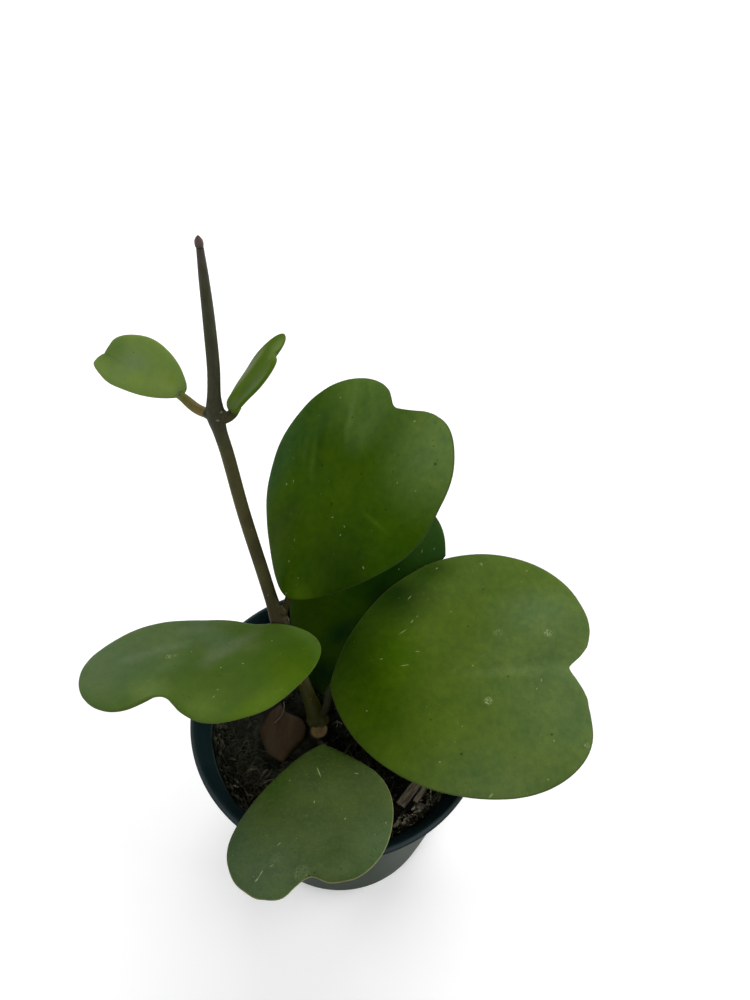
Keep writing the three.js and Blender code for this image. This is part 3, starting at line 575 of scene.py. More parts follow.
def chip_finish(turn):
    """turn is the way of the grain, in degrees from the X axis."""
    f = Finish("wood_chip_grain", (84, 74, 60))
    where = f.rotate(f.place(), -turn)
    grain = f.mottle(f.stretch(where, (0.12, 1, 1)), 1500, 4, 0.7)
    f.coat(f.ease(grain, 0.35, 0.62), (172, 158, 138))
    f.coat(f.ease(f.mottle(where, 260, 3), 0.5, 0.75) * 0.5, (118, 92, 64))
    return f.done(Roughness=0.85, Normal=f.bump(grain, 0.25, 0.9))


def grit_finish():
    f = Finish("grey_grit", (96, 90, 78))
    grain = f.mottle(f.place(), 1100, 4, 0.7)
    f.coat(f.ease(grain, 0.35, 0.65), (148, 140, 122))
    return f.done(Roughness=0.85, Normal=f.bump(grain, 0.2, 0.8))


def stem_bark():
    """Olive brown skin with fine lengthwise streaks and flecks, grey on the shoot; darker and greener
    towards the foot, partly painted shade, and near black at the soil, which is painted shade.
    """
    f = Finish("stem_bark", (46, 47, 8))
    where = f.place()
    _, _, height = f.parts(where)
    streak = f.mottle(f.stretch(where, (1, 1, 0.08)), 900, 4, 0.6)
    fleck = f.ease(f.cells(f.stretch(where, (1, 1, 0.5)), 620), 0.2, 0.1) * f.ease(height, 0.172, 0.15)
    rare = f.ease(f.mottle(where, 330, 2), 0.5, 0.6)
    patch = f.mottle(where, 90, 4)
    fork = f.ease(height, 0.101, 0.107) * f.ease(height, 0.124, 0.112)
    # Lighter olive brown from 85 mm up; the dark green below is partly the stem's own colour and partly
    # painted shade under the leaves.
    f.coat(f.ease(height, 0.085, 0.125), (73, 70, 40))
    f.coat(f.ease(height, 0.155, 0.176), (52, 54, 38))
    f.coat(f.ease(height, 0.222, 0.234), (62, 55, 52))
    f.coat(f.ease(patch, 0.4, 0.7) * 0.5, (40, 36, 21))
    f.coat(f.ease(streak, 0.35, 0.7) * 0.35 * f.ease(height, 0.08, 0.12), (74, 71, 50))
    f.coat(fork * 0.85, f.mix(patch, tint(40, 34, 14), tint(52, 46, 26)))
    f.coat(fleck * rare * 0.6, (120, 110, 84))
    # Painted shade: the stem is near black below about 80 mm, down to the soil.
    f.coat(f.ease(height, 0.0812, 0.0792) * 0.85, (20, 20, 10))
    return f.done(Roughness=0.45 + 0.2 * patch, Specular_IOR_Level=0.1,
                  Normal=f.bump(streak + fleck * 0.5, 0.1, 0.6))


def cut_wood():
    """The dried cut: tan wood in faint rings, darker pith cracks, in a thin brown rim of bark."""
    f = Finish("cut_wood", (98, 75, 38))
    ring = f.held("radial")
    crack = f.mottle(f.stretch(f.place(), (0.6, 1.6, 1)), 900, 4, 0.7)
    f.coat(f.ease(ring, 0.2, 0.75), (110, 90, 50))
    f.coat(f.ease(crack, 0.52, 0.66) * 0.75, (92, 50, 24))
    f.coat(f.ease(ring, 0.84, 0.93), (58, 54, 28))
    return f.done(Roughness=0.8, Normal=f.bump(crack, 0.3, 0.7))


def bud_finish():
    f = Finish("bud_scales", (56, 46, 38))
    where = f.place()
    _, _, height = f.parts(where)
    grain = f.mottle(f.stretch(where, (1, 1, 0.2)), 1400, 3)
    f.coat(f.ease(height, 0.2368, 0.2415), (84, 60, 55))
    f.coat(f.ease(grain, 0.4, 0.7) * 0.5, (66, 44, 38))
    return f.done(Roughness=0.6, Normal=f.bump(grain, 0.08, 0.6))


def knob_finish():
    f = Finish("node_knobs", (38, 40, 26))
    grain = f.mottle(f.place(), 900, 3)
    f.coat(f.held("tone"), (106, 107, 78))
    f.coat(f.ease(grain, 0.45, 0.7) * 0.4, (64, 60, 42))
    return f.done(Roughness=0.65, Normal=f.bump(grain, 0.1, 0.6))


def leaf_finish(name, look):
    """Waxy leaf. Its places are in millimetres across and along the flat blade, from its base.

    Washes are broad soft patches of another green; many are painted light: painted shade and shadow
    where other leaves shade the blade, painted sheen and highlight streaks. Pits, flecks, scurf, rings
    and the rest are small.
    """
    f = Finish(name + "_skin", look.skin)
    flat = f.held("leaf_place", "Vector")
    # The washes are partly the leaf's own greens and partly painted shade, painted shadow and painted sheen.
    for *oval, shade, strength in look.washes_and_painted_light:
        f.coat(f.spot(flat, *oval, softness=1.0) * strength, shade)
    cloud = f.mottle(flat, 0.07, 4, 0.6)
    fine = f.mottle(flat, 0.34, 5, 0.65)
    grain = f.mottle(flat, 1.6, 4, 0.7)
    light = f.mix(1.0, f.colour, (1.36, 1.2, 1.0, 1), "MULTIPLY")
    dark = f.mix(1.0, f.colour, (0.7, 0.78, 0.8, 1), "MULTIPLY")
    tone = 0.5 + ((cloud - 0.5) * 1.5 + (fine - 0.5) * 1.35 + (grain - 0.5) * look.grain) * look.mottle
    f.colour = f.mix(tone, dark, light)
    # Fine dark dots and pale dust everywhere, then the marks of this leaf
    dots = f.ease(f.cells(flat, 0.45), 0.16, 0.08) * f.ease(f.mottle(flat, 0.12, 2), 0.48, 0.58)
    f.coat(dots * 0.4, [0.5 * c for c in look.skin])
    dust = f.ease(f.cells(f.shift(flat, (40, 9, 3)), 0.3), 0.07, 0.04)
    dust = dust * f.ease(f.mottle(f.shift(flat, (7, 30, 0)), 0.1, 2), 0.46, 0.55)
    f.coat(dust * 0.7, f.mix(0.5, f.colour, tint(*look.fleck)))
    for x, y, radius in look.rings:
        f.coat(f.spot(flat, x, y, radius, radius, 0, 0.3) * 0.22, dark)
    for x, y, radius in look.pits:
        f.coat(f.spot(flat, x, y, radius, radius, 0, 0.8) * 0.7, [0.4 * c for c in look.skin])
    for oval in look.flecks:
        f.coat(f.spot(flat, *oval, softness=0.7) * 0.6, look.fleck)
    curl = f.ease(abs(f.mottle(flat, 0.9, 2, 0.4) - 0.5), 0.045, 0.015)
    for x, y, radius, strength in look.scurf:
        f.coat(f.spot(flat, x, y, radius, radius, 0, 0.5) * (0.15 + 1.2 * curl) * strength, look.fleck)
    dusty = f.ease(f.mottle(flat, 0.75, 4, 0.8), 0.5, 0.64) * look.dusty
    f.coat(dusty, look.dust)
    # The paler underside, the thin margin and the stalk
    f.coat(f.ease(f.held("top"), 0.6, 0.4), look.back)
    ragged = f.ease(f.held("margin") + (fine - 0.5) * 0.012, look.rim_start, 0.999)
    f.coat(ragged * look.rim_strength, look.rim)
    brown = f.ease(f.mottle(flat, 0.26, 4, 0.7) - 0.6 * f.held("reach"), 0.12, 0.42)
    f.coat(f.held("stalk"), f.mix(brown, tint(*look.stalk), tint(*look.stalk_brown)))
    rough = look.roughness + 0.12 * (cloud - 0.5) + 0.2 * dusty
    return f.done(Roughness=rough, Specular_IOR_Level=look.sheen,
                  Normal=f.bump(fine * 0.6 + cloud * 2.0 + dusty * 0.6, 0.12, 0.5))


def floor_finish():
    f = Finish("pale_floor", (246, 246, 246))
    f.coat(f.mottle(f.place(), 30, 3), (251, 251, 251))
    return f.done(Roughness=0.95, Specular_IOR_Level=0.1, Emission_Color=f.colour, Emission_Strength=0.2)


# Shapes
def polar(radius, angle):
    return radius * math.cos(angle), radius * math.sin(angle)


def around(count):
    """Angles evenly spaced round a circle."""
    return [2 * math.pi * j / count for j in range(count)]


def rings_of(count, sides, first=0):
    """The point numbers of rings that follow one another in a list of points."""
    return [range(first + i * sides, first + (i + 1) * sides) for i in range(count)]


def skin(rings, flip=False):
    """Faces between neighbouring rings of point numbers. A ring of one point makes a fan."""
    faces = []
    for a, b in zip(rings[:-1], rings[1:]):
        count = max(len(a), len(b))
        for j in range(count):
            k = (j + 1) % count
            if len(a) == 1:
                face = (a[0], b[k], b[j])
            elif len(b) == 1:
                face = (b[0], a[j], a[k])
            else:
                face = (a[j], a[k], b[k], b[j])
            faces.append((face[0], *face[:0:-1]) if flip else face)
    return faces


def new_piece(name, points, faces, finish, replaces=(), held=None):
    """A smooth mesh piece from points in millimetres; held are numbers for each point, by name."""
    mesh = bpy.data.meshes.new(name)
    mesh.from_pydata((np.asarray(points, float) * MM).tolist(), [], faces)
    mesh.update()
    mesh.polygons.foreach_set("use_smooth", np.ones(len(mesh.polygons), bool))
    for key, values in (held or {}).items():
        values = np.asarray(values, np.float32)
        kind, field = ("FLOAT_VECTOR", "vector") if values.ndim == 2 else ("FLOAT", "value")
        mesh.attributes.new(key, kind, "POINT").data.foreach_set(field, values.ravel())
    mesh.materials.append(finish)
    piece = bpy.data.objects.new(name, mesh)
    bpy.context.scene.collection.objects.link(piece)
    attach(piece, "root")
    if replaces:
        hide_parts(*replaces)
    return piece


def settle(piece):
    """Puts the result of a piece's modifiers into its mesh."""
    shown = piece.evaluated_get(bpy.context.evaluated_depsgraph_get())
    mesh = bpy.data.meshes.new_from_object(shown)
    piece.modifiers.clear()
    piece.data = mesh


def curve_points(route, count):
    """Points evenly spaced along a smooth curve through the points of the route."""
    p = np.asarray(route, float)
    padded = np.vstack([2 * p[0] - p[1], p, 2 * p[-1] - p[-2]])
    dense = []
    for i in range(len(p) - 1):
        x0, x1, x2, x3 = padded[i:i + 4]
        d0, d1, d2 = (np.linalg.norm(b - a) ** 0.5 for a, b in ((x0, x1), (x1, x2), (x2, x3)))
        t1 = ((x1 - x0) / d0 - (x2 - x0) / (d0 + d1) + (x2 - x1) / d1) * d1
        t2 = ((x2 - x1) / d1 - (x3 - x1) / (d1 + d2) + (x3 - x2) / d2) * d1
        t = np.linspace(0, 1, 24, endpoint=False)[:, None]
        dense.append(x1 + t1 * t + (-3 * x1 + 3 * x2 - 2 * t1 - t2) * t ** 2
                     + (2 * x1 - 2 * x2 + t1 + t2) * t ** 3)
    dense = np.vstack(dense + [p[-1:]])
    reach = np.concatenate([[0], np.cumsum(np.linalg.norm(np.diff(dense, axis=0), axis=1))])
    wanted = np.linspace(0, reach[-1], count)
    return np.stack([np.interp(wanted, reach, dense[:, k]) for k in range(3)], 1)


def tube(route, radius_at, steps, sides, flatten=1.0):
    """Closed tube along a smooth route; radius_at takes the share of its length."""
    centres = curve_points(route, steps + 1)
    ways = np.gradient(centres, axis=0)
    ways /= np.linalg.norm(ways, axis=1)[:, None]
    aside = np.cross(ways[0], (0, 0, 1) if abs(ways[0][2]) < 0.9 else (1, 0, 0))
    angles = np.array(around(sides))[:, None]
    points = []
    for i, (centre, way) in enumerate(zip(centres, ways)):
        aside = aside - way * aside.dot(way)
        aside /= np.linalg.norm(aside)
        above = np.cross(way, aside)
        ring = np.cos(angles) * aside + flatten * np.sin(angles) * above
        points.append(centre + radius_at(i / steps) * ring)
    points = np.vstack(points + [centres[:1], centres[-1:]])
    return points, skin([[len(points) - 2], *rings_of(steps + 1, sides), [len(points) - 1]])


def unit_lump(detail):
    ball = bmesh.new()
    bmesh.ops.create_icosphere(ball, subdivisions=detail, radius=1)
    points = np.array([v.co[:] for v in ball.verts])
    faces = [tuple(v.index for v in face.verts) for face in ball.faces]
    ball.free()
    return points, faces


LUMPS = {detail: unit_lump(detail) for detail in (1, 2, 3)}


def lump(radii, seed, roughness=0.3, detail=2):
    """A rough stone-like shape: a ball with its surface pushed in and out."""
    points, faces = LUMPS[detail]
    push = np.array([1 + roughness * noise.noise(Vector(p * 1.3) + Vector((seed, 2 * seed, 0)))
                     + 0.4 * roughness * noise.noise(Vector(p * 3.1) + Vector((0, seed, seed)))
                     for p in points])
    return points * push[:, None] * np.asarray(radii, float), faces


def turned(points, turn=0.0, tilt=0.0, lean=0.0, at=(0, 0, 0)):
    """Points turned about Z, tilted about X and leant about Y (degrees), then moved."""
    matrix = (Matrix.Rotation(math.radians(turn), 3, "Z") @ Matrix.Rotation(math.radians(tilt), 3, "X")
              @ Matrix.Rotation(math.radians(lean), 3, "Y"))
    return points @ np.array(matrix).T + np.asarray(at, float)


class Heap:
    """Many small shapes gathered into one mesh, each with its own tone."""

    def __init__(self):
        self.points, self.faces, self.tones, self.count = [], [], [], 0

    def add(self, shape, tone=0.0, at=(0, 0, 0), turn=0.0, tilt=0.0, lean=0.0):
        points, faces = shape
        self.faces += [tuple(i + self.count for i in face) for face in faces]
        self.points.append(turned(points, turn, tilt, lean, at))
        self.tones.append(np.full(len(points), tone))
        self.count += len(points)

    def piece(self, name, finish, slot, replaces=()):
        return new_piece(name, np.vstack(self.points), self.faces, finish, replaces,
                         {"tone": np.concatenate(self.tones)})


# Pot
def smoothed(profile, rounds):
    """Cuts the corners of an open outline, and keeps its two ends."""
    points = np.asarray(profile, float)
    for _ in range(rounds):
        before, after = points[:-1], points[1:]
        cut = np.stack([0.8 * before + 0.2 * after, 0.2 * before + 0.8 * after], 1).reshape(-1, 2)
        points = np.vstack([points[:1], cut[1:-1], points[-1:]])
    return points


def make_pot():
    profile = smoothed(POT_PROFILE, 2)[1:-1]
    points = [(*polar(r, angle), z) for r, z in profile for angle in around(POT_SIDES)]
    points += [(0, 0, 0), (0, 0, POT_FLOOR)]
    faces = skin([[len(points) - 2], *rings_of(len(profile), POT_SIDES), [len(points) - 1]])
    pot = new_piece("nursery_pot", points, faces, pot_plastic(), ["pot"])
    drills = Heap()
    for angle in around(DRAIN_HOLES):
        x, y = polar(DRAIN_CIRCLE, angle + math.pi / DRAIN_HOLES)
        drills.add(tube([(x, y, -3), (x, y, 5)], lambda share: DRAIN_RADIUS, 1, 32))
    cutter_mesh = bpy.data.meshes.new("drain_drills")
    cutter_mesh.from_pydata((np.vstack(drills.points) * MM).tolist(), [], drills.faces)
    cutter = bpy.data.objects.new("drain_drills", cutter_mesh)
    bpy.context.scene.collection.objects.link(cutter)
    cut = pot.modifiers.new("drain_holes", "BOOLEAN")
    cut.object, cut.operation, cut.solver = cutter, "DIFFERENCE", "EXACT"
    settle(pot)
    bpy.data.objects.remove(cutter)
    pot.data.set_sharp_from_angle(angle=math.radians(40))


# Soil and what lies on it
def soil_height(x, y):
    return SOIL_TOP + 1.1 * (math.sin(x / 7 + 1) * math.cos(y / 9) + 0.5 * math.sin((x + 1.4 * y) / 5))


def on_soil(x, y, lift):
    return x, y, soil_height(x, y) + lift


def make_soil():
    points = [(0, 0, soil_height(0, 0))]
    for r in range(1, SOIL_RINGS + 1):
        radius = SOIL_EDGE * (r / SOIL_RINGS) ** 0.8
        for angle in around(SOIL_SIDES):
            x, y = polar(radius, angle)
            lift = sum(height * noise.noise(Vector((x / size, y / size, layer)))
                       for height, size, layer in SOIL_LUMPS)
            lift -= HOLLOW_DEPTH * math.exp(-((math.hypot(x - HOLLOW[0], y - HOLLOW[1]) / HOLLOW_WIDTH) ** 2))
            lift += BANK_RISE * max(0.0, (radius - BANK_START) / BANK_WIDTH) ** 2
            points.append(on_soil(x, y, lift - 0.3))
    points += [(*polar(SOIL_FOOT, angle), SOIL_UNDERSIDE) for angle in around(SOIL_SIDES)]
    points.append((0, 0, SOIL_UNDERSIDE))
    faces = skin([[0], *rings_of(SOIL_RINGS + 1, SOIL_SIDES, 1), [len(points) - 1]], flip=True)
    new_piece("potting_mix_bed", points, faces, soil_finish(), ["soil"])


def clear_of_large_things(x, y, room):
    """Whether a crumb there misses the hollow, the stem, the bark chunk, the chips and the grit."""
    spots = [(*HOLLOW, 3.6 + room), (-8, -2, 5), (-21.3, -1, 10.5), (28.5, -25.5, 6), (31.2, -30.5, 2.6)]
    return all(math.hypot(x - a, y - b) > r + room for a, b, r in spots)


def make_crumbs(draw):
    crumbs = Heap()
    for i in range(CRUMBS):
        angle, radius = draw.uniform(0, 2 * math.pi), CRUMB_REACH * math.sqrt(draw.random())
        x, y = polar(radius, angle)
        by_wall = x > 18 and y < -14
        size = 0.28 + (0.6 if by_wall else 1.3) * draw.random() ** 4
        if not clear_of_large_things(x, y, size):
            continue
        radii = (size * draw.uniform(0.8, 1.8), size, size * draw.uniform(0.4, 0.9))
        shape = lump(radii, i, 0.8, 1 if size < 0.9 else 2)
        tone = draw.choice((0.0, 0.1, 0.2, 0.3, 0.4))
        if by_wall and size < 0.8 and draw.random() < 0.22:
            tone = draw.uniform(0.55, 0.9)
        crumbs.add(shape, tone, on_soil(x, y, 0.3 * size),
                   draw.uniform(0, 360), draw.uniform(-35, 35), draw.uniform(-35, 35))
    # Pale bits in an arc along the wall, where the mix has dried
    for i in range(PALE_BITS):
        angle = math.radians(draw.choice((-57, -56, -47, -45, -38)) + draw.gauss(0, 4))
        x, y = polar(min(draw.gauss(44.3, 1.7), 46.2), angle)
        size = draw.uniform(0.25, 0.8)
        shape = lump((size * draw.uniform(1.1, 3), 0.7 * size, 0.5 * size), 5000 + i, 1.1, 1)
        crumbs.add(shape, at=on_soil(x, y, 0.6 + 0.3 * size), turn=math.degrees(angle) + draw.gauss(90, 30),
                   lean=draw.uniform(-20, 20), tone=draw.choice((0.55, 0.65, 0.8, 0.95, 1.0)))
    # Dusty bits banked against the wall all round
    for i in range(BANKED_BITS):
        angle, radius = draw.uniform(0, 2 * math.pi), WALL_REACH - abs(draw.gauss(0, 1.2))
        x, y = polar(radius, angle)
        size = 0.3 + 0.8 * draw.random() ** 2
        shape = lump((size * draw.uniform(1, 2), 0.8 * size, 0.7 * size), 8000 + i, 0.8, 1)
        inward = 1 - 0.4 * size / WALL_REACH
        height = soil_height(x, y) + 0.6 + draw.uniform(0, 2.6) * max(0, radius - 44) / 2
        crumbs.add(shape, at=(x * inward, y * inward, height), turn=math.degrees(angle) + 90,
                   lean=draw.uniform(-25, 25), tone=draw.choice((0.32, 0.4, 0.46, 0.52, 0.56)))
    crumbs.piece("soil_crumbs", crumb_finish(), "bark")


def fibre(start, way, length, radius, draw, height=0.5, bend=0.75, flatten=1.0):
    """A bent root or a flat shred that lies on the soil from start, its middle a little raised."""
    points = []
    x, y = start
    for i in range(6):
        lift = height * math.sin(math.pi * i / 5) + draw.uniform(-0.15, 0.25)
        points.append(on_soil(x, y, 0.35 + lift))
        way += draw.uniform(-bend, bend)
        x += length / 5 * math.cos(way)
        y += length / 5 * math.sin(way)
        reach = math.hypot(x, y)
        if reach > CRUMB_REACH:
            x, y = x * CRUMB_REACH / reach, y * CRUMB_REACH / reach
    return tube(points, lambda share: radius * (1 - 0.6 * abs(2 * share - 1) ** 3), 9, 5, flatten)


def make_fibres(draw):
    """Root fibres, then flat shreds of bark."""
    shreds = Heap()
    for i in range(ROOT_FIBRES):
        left = i < LEFT_FIBRES
        x = draw.gauss(-35, 6) if left else draw.uniform(-40, 44)
        y = draw.gauss(-17, 9) if left else draw.uniform(-44, 30)
        if math.hypot(x, y) > 44.5 or not clear_of_large_things(x, y, 0.9):
            continue
        shreds.add(fibre((x, y), draw.uniform(0, 2 * math.pi), draw.uniform(2, 9),
                         draw.choice((0.06, 0.08, 0.1, 0.12, 0.2)), draw, 1.2),
                   draw.choice((0.1, 0.2, 0.3, 0.36, 0.42, 0.5, 0.56)))
    # Flat shreds at the left, then some past the chips, then some anywhere
    for i in range(FLAT_SHREDS):
        if i < 70:
            x, y, way = draw.gauss(-32, 7), draw.gauss(-22, 6), draw.gauss(-0.4, 0.7)
        elif i < 100:
            x, y, way = draw.gauss(35.5, 3), draw.gauss(-25.5, 2.5), draw.gauss(1.2, 0.7)
        else:
            x, y, way = draw.uniform(-40, 44), draw.uniform(-42, 30), draw.uniform(0, 3)
        if math.hypot(x, y) > 44.8 or not clear_of_large_things(x, y, 0.9):
            continue
        shreds.add(fibre((x, y), way, draw.uniform(3, 9), draw.uniform(0.25, 0.6), draw, 0.9, 0.3, 0.4),
                   draw.choice((0.36, 0.44, 0.5, 0.56, 0.6, 0.66)))
    # Pale ones along the wall past the chips
    for i in range(PALE_SHREDS):
        angle = math.radians(draw.uniform(-60, -31))
        start = polar(draw.uniform(42.5, 45.5), angle)
        shreds.add(fibre(start, angle + math.pi / 2, draw.uniform(2, 6), draw.uniform(0.12, 0.3), draw, 1.0),
                   draw.choice((0.7, 0.8, 0.95)))
    # Grey shreds in the gap between the front leaf and the right leaf
    for i in range(GREY_SHREDS):
        x, aside = draw.uniform(1, 22), draw.uniform(-4, 4)
        shreds.add(fibre((x, -4 - 0.95 * x + aside), draw.uniform(0, math.pi), draw.uniform(2, 6),
                         draw.uniform(0.12, 0.4), draw, 1.0, 0.4, 0.6), draw.choice((0.4, 0.46, 0.52, 0.57)))
    for start, way, length, radius, tone in CLEAR_SHREDS:
        shreds.add(fibre(start, way, length, radius, draw, 0.8), tone)
    bow = [(*polar(45.4, math.radians(degrees)), 75.8) for degrees in (-46, -42, -38, -34)]
    shreds.add(tube(bow, lambda share: 0.3, 16, 6), 0.66)
    shreds.piece("soil_fibres", crumb_finish(), "chip")


def make_bark_chunk():
    """The flat chunk, worn at its edge and cut off slanting at its left, with a pale root hair on it."""
    edge = np.vstack([np.linspace(a, b, 9, endpoint=False)
                      for a, b in zip(CHUNK_CORNERS, np.roll(CHUNK_CORNERS, -1, 0))])
    for _ in range(3):
        edge = (np.roll(edge, 1, 0) + 2 * edge + np.roll(edge, -1, 0)) / 4
    shares = (0.15, 0.3, 0.45, 0.6, 0.72, 0.84, 0.92, 0.97, 1.0)
    middle = edge.mean(0)
    points = []
    for top in (True, False):
        rise, inward = (4.0, -1) if top else (0.0, 1)
        points.append((*middle, rise))
        for share in shares:
            for x, y in middle + (edge - middle) * share:
                drop = 0.9 * max(0.0, (share - 0.84) / 0.16) ** 2
                facet = 0.9 * max(0.0, -0.35 * (x + 4.5) + 0.1 * (y - 4)) if top else 0
                rough = 0.28 * noise.noise(Vector((x / 3.2, y / 3.2, 3 if top else 8)))
                points.append((x, y, rise + inward * (drop + facet) + rough))
    upper, lower = ([[hub], *rings_of(len(shares), len(edge), hub + 1)] for hub in (0, len(points) // 2))
    points = turned(np.array(points) - (0, 0, 0.8), 0, 4, -5, (-21.3, -2.6, 74.4))
    faces = skin([*upper, *reversed(lower)])
    new_piece("bark_slab", points, faces, bark_finish(), ["bark_chunk"])
    hair = Heap()
    hair.add(tube(HAIR_ROUTE, lambda share: 0.15, 14, 6), 0.74)
    hair.piece("pale_root_hair", crumb_finish(), "chip")


def make_chips():
    """Two ribbed splinters with ragged ends, and the grit."""
    sides, steps, squareness = 28, 30, 1.22
    for name, (place, (length, width, height), turn) in CHIPS.items():
        points = []
        for i in range(steps + 1):
            for j in reversed(range(sides)):
                angle = 2 * math.pi * j / sides
                x = length * (i / steps - 0.5)
                if i in (0, steps):
                    x += 0.35 * noise.noise(Vector((j * 0.9, 7.0 if i else 1.0, length)))
                square = min(1 / max(abs(math.cos(angle)), abs(math.sin(angle))), squareness)
                y = 0.5 * width * math.cos(angle) * square
                z = 0.5 * height * math.sin(angle) * square
                if z > 0:
                    z += 0.1 * math.sin(y * 9) + 0.12 * noise.noise(Vector((x / 3, y * 2.5, length)))
                points.append((x, y, z))
        points += [(-0.5 * length, 0, 0), (0.5 * length, 0, 0)]
        faces = skin([[len(points) - 2], *rings_of(steps + 1, sides), [len(points) - 1]], flip=True)
        points = turned(np.array(points), turn, at=(place[0], place[1], place[2] + height / 2))
        new_piece(name + "_splinter", points, faces, chip_finish(turn), [name])
    points, faces = lump((1.65, 1.5, 1.3), 4, 0.22, 3)
    new_piece("grey_grit_stone", points + (31.1, -30, 75.7), faces, grit_finish(), ["grit_pebble"])


# Stem
def stem_radius(share):
    """Radius of the shoot by the share of its length: it swells at the nodes and thins towards its tip."""
    chords = np.linalg.norm(np.diff(STEM_ROUTE, axis=0), axis=1)
    shares = [chords[:index].sum() / chords.sum() for index in NODE_INDEX]
    above = max(0.0, (share - shares[2]) / (1 - shares[2]))
    radius = STEM_RADIUS if share < shares[2] else SHOOT_RADIUS + (TIP_RADIUS - SHOOT_RADIUS) * above ** 3
    for at, swell, reach in zip(shares, NODE_SWELL, NODE_REACH):
        radius += swell * math.exp(-(((share - at) * chords.sum() / reach) ** 2))
    return radius


def make_stem():
    """Cutting, shoot and bosses, melted into one skin."""
    cutting, faces = tube([CUTTING_FOOT, CUTTING_TOP], lambda share: CUTTING_RADIUS, 24, 40)
    normal = np.array(Matrix.Rotation(math.radians(CUT_TILT[1]), 3, "Y")
                      @ Matrix.Rotation(math.radians(CUT_TILT[0]), 3, "X") @ Vector((0, 0, 1)))
    axis = np.array(CUTTING_TOP) - np.array(CUTTING_FOOT)
    over = np.maximum((cutting - np.array(CUT_FACE)) @ normal, 0) / (axis @ normal)
    whole = Heap()
    whole.add(tube(STEM_ROUTE, stem_radius, 260, 26))
    whole.add((cutting - over[:, None] * axis, faces))
    for place, radii, seed in BOSSES:
        whole.add(lump(radii, seed, 0.25, 3), at=place)
    stem = whole.piece("vine_stem", stem_bark(), "stem", ["stem"])
    merge = stem.modifiers.new("merge", "REMESH")
    merge.mode, merge.voxel_size = "VOXEL", STEM_VOXEL * MM
    even = stem.modifiers.new("even", "SMOOTH")
    even.factor, even.iterations = 0.5, 3
    settle(stem)
    stem.data.polygons.foreach_set("use_smooth", np.ones(len(stem.data.polygons), bool))
    make_cut_face(normal, axis / np.linalg.norm(axis))
    make_bud()
    make_knobs()


def make_cut_face(normal, axis):
    """The dished wood of the cut, inside a low rim, just over the stem's flat end."""
    aside = np.cross(axis, (0, 1, 0))
    aside /= np.linalg.norm(aside)
    above = np.cross(axis, aside)
    centre = np.array(CUT_FACE)
    rings, sides = 14, 48

    def cut_point(share, angle):
        at = centre + CUT_RADIUS * share * (math.cos(angle) * aside + math.sin(angle) * above)
        at -= axis * ((at - centre) @ normal) / (axis @ normal)
        dish = 0.35 - 0.25 * (1 - share ** 4) + 0.12 * noise.noise(Vector(at * 1.1))
        return at + axis * (dish if share < 1 else -0.25)

    points = [cut_point(0, 0)]
    points += [cut_point(r / rings, angle) for r in range(1, rings + 1) for angle in around(sides)]
    points.append(centre - 0.3 * axis)
    radial = [0.0, *np.repeat(np.arange(1, rings + 1) / rings, sides), 1.0]
    faces = skin([[0], *rings_of(rings, sides, 1), [len(points) - 1]], flip=True)
    new_piece("cut_end_wood", points, faces, cut_wood(), held={"radial": radial})


def make_bud():
    """Two folded scales around a pointed core, at the tip of the shoot."""
    heap = Heap()
    foot = np.array((-44.9, 88.1, 237.2))
    heap.add(lump((1.3, 1.15, 2.5), 6, 0.15, 3), at=foot + (0, 0, 1.5))
    for aside, turn in ((-0.5, 8), (0.45, -8)):
        points, faces = lump((0.95, 1.05, 2.6), 11 + turn, 0.12, 3)
        points[:, :2] *= 1 - 0.75 * np.clip(points[:, 2:] / 2.6, 0, 1) ** 1.6
        heap.add((points, faces), at=foot + (aside, -0.15, 2.1), lean=turn)
    heap.piece("tip_bud", bud_finish(), "stem")


def make_knobs():
    knobs = Heap()
    for i, (place, radii, tone) in enumerate(KNOBS):
        knobs.add(lump(radii, i, 0.3, 3), tone, place)
    knobs.piece("node_knobs", knob_finish(), "stem")


# Leaves
def middle_of(shape):
    return np.array((0, BLADE_HUB * shape.length))


def arc(p0, p1, p2, p3, steps):
    t = np.linspace(0, 1, steps, endpoint=False)[:, None]
    p0, p1, p2, p3 = (np.asarray(p, float) for p in (p0, p1, p2, p3))
    return (1 - t) ** 3 * p0 + 3 * (1 - t) ** 2 * t * p1 + 3 * (1 - t) * t ** 2 * p2 + t ** 3 * p3


def half_outline(shape, half, lobe_length, steps):
    """Base to widest place, on to the top of the lobe, and down into the notch."""
    notch_y = shape.length - shape.notch
    widest_y = half.widest * shape.length
    lobe_x = half.lobe * half.width
    base_turn, notch_turn = math.radians(half.base_angle), math.radians(half.notch_angle)
    start = half.belly * half.width
    dip = 0.5 * (lobe_length - notch_y) / max(math.cos(notch_turn), 0.3)
    return np.vstack([
        arc((0, 0), (start * math.sin(base_turn), start * math.cos(base_turn)),
            (half.width, widest_y * (1 - half.fullness)), (half.width, widest_y), steps),
        arc((half.width, widest_y), (half.width, widest_y + ROUND_ARC * (lobe_length - widest_y)),
            (lobe_x + ROUND_ARC * (half.width - lobe_x), lobe_length), (lobe_x, lobe_length), steps),
        arc((lobe_x, lobe_length), (lobe_x * (1 - ROUND_ARC), lobe_length),
            (dip * math.sin(notch_turn), notch_y + dip * math.cos(notch_turn)), (0, notch_y), steps),
    ])


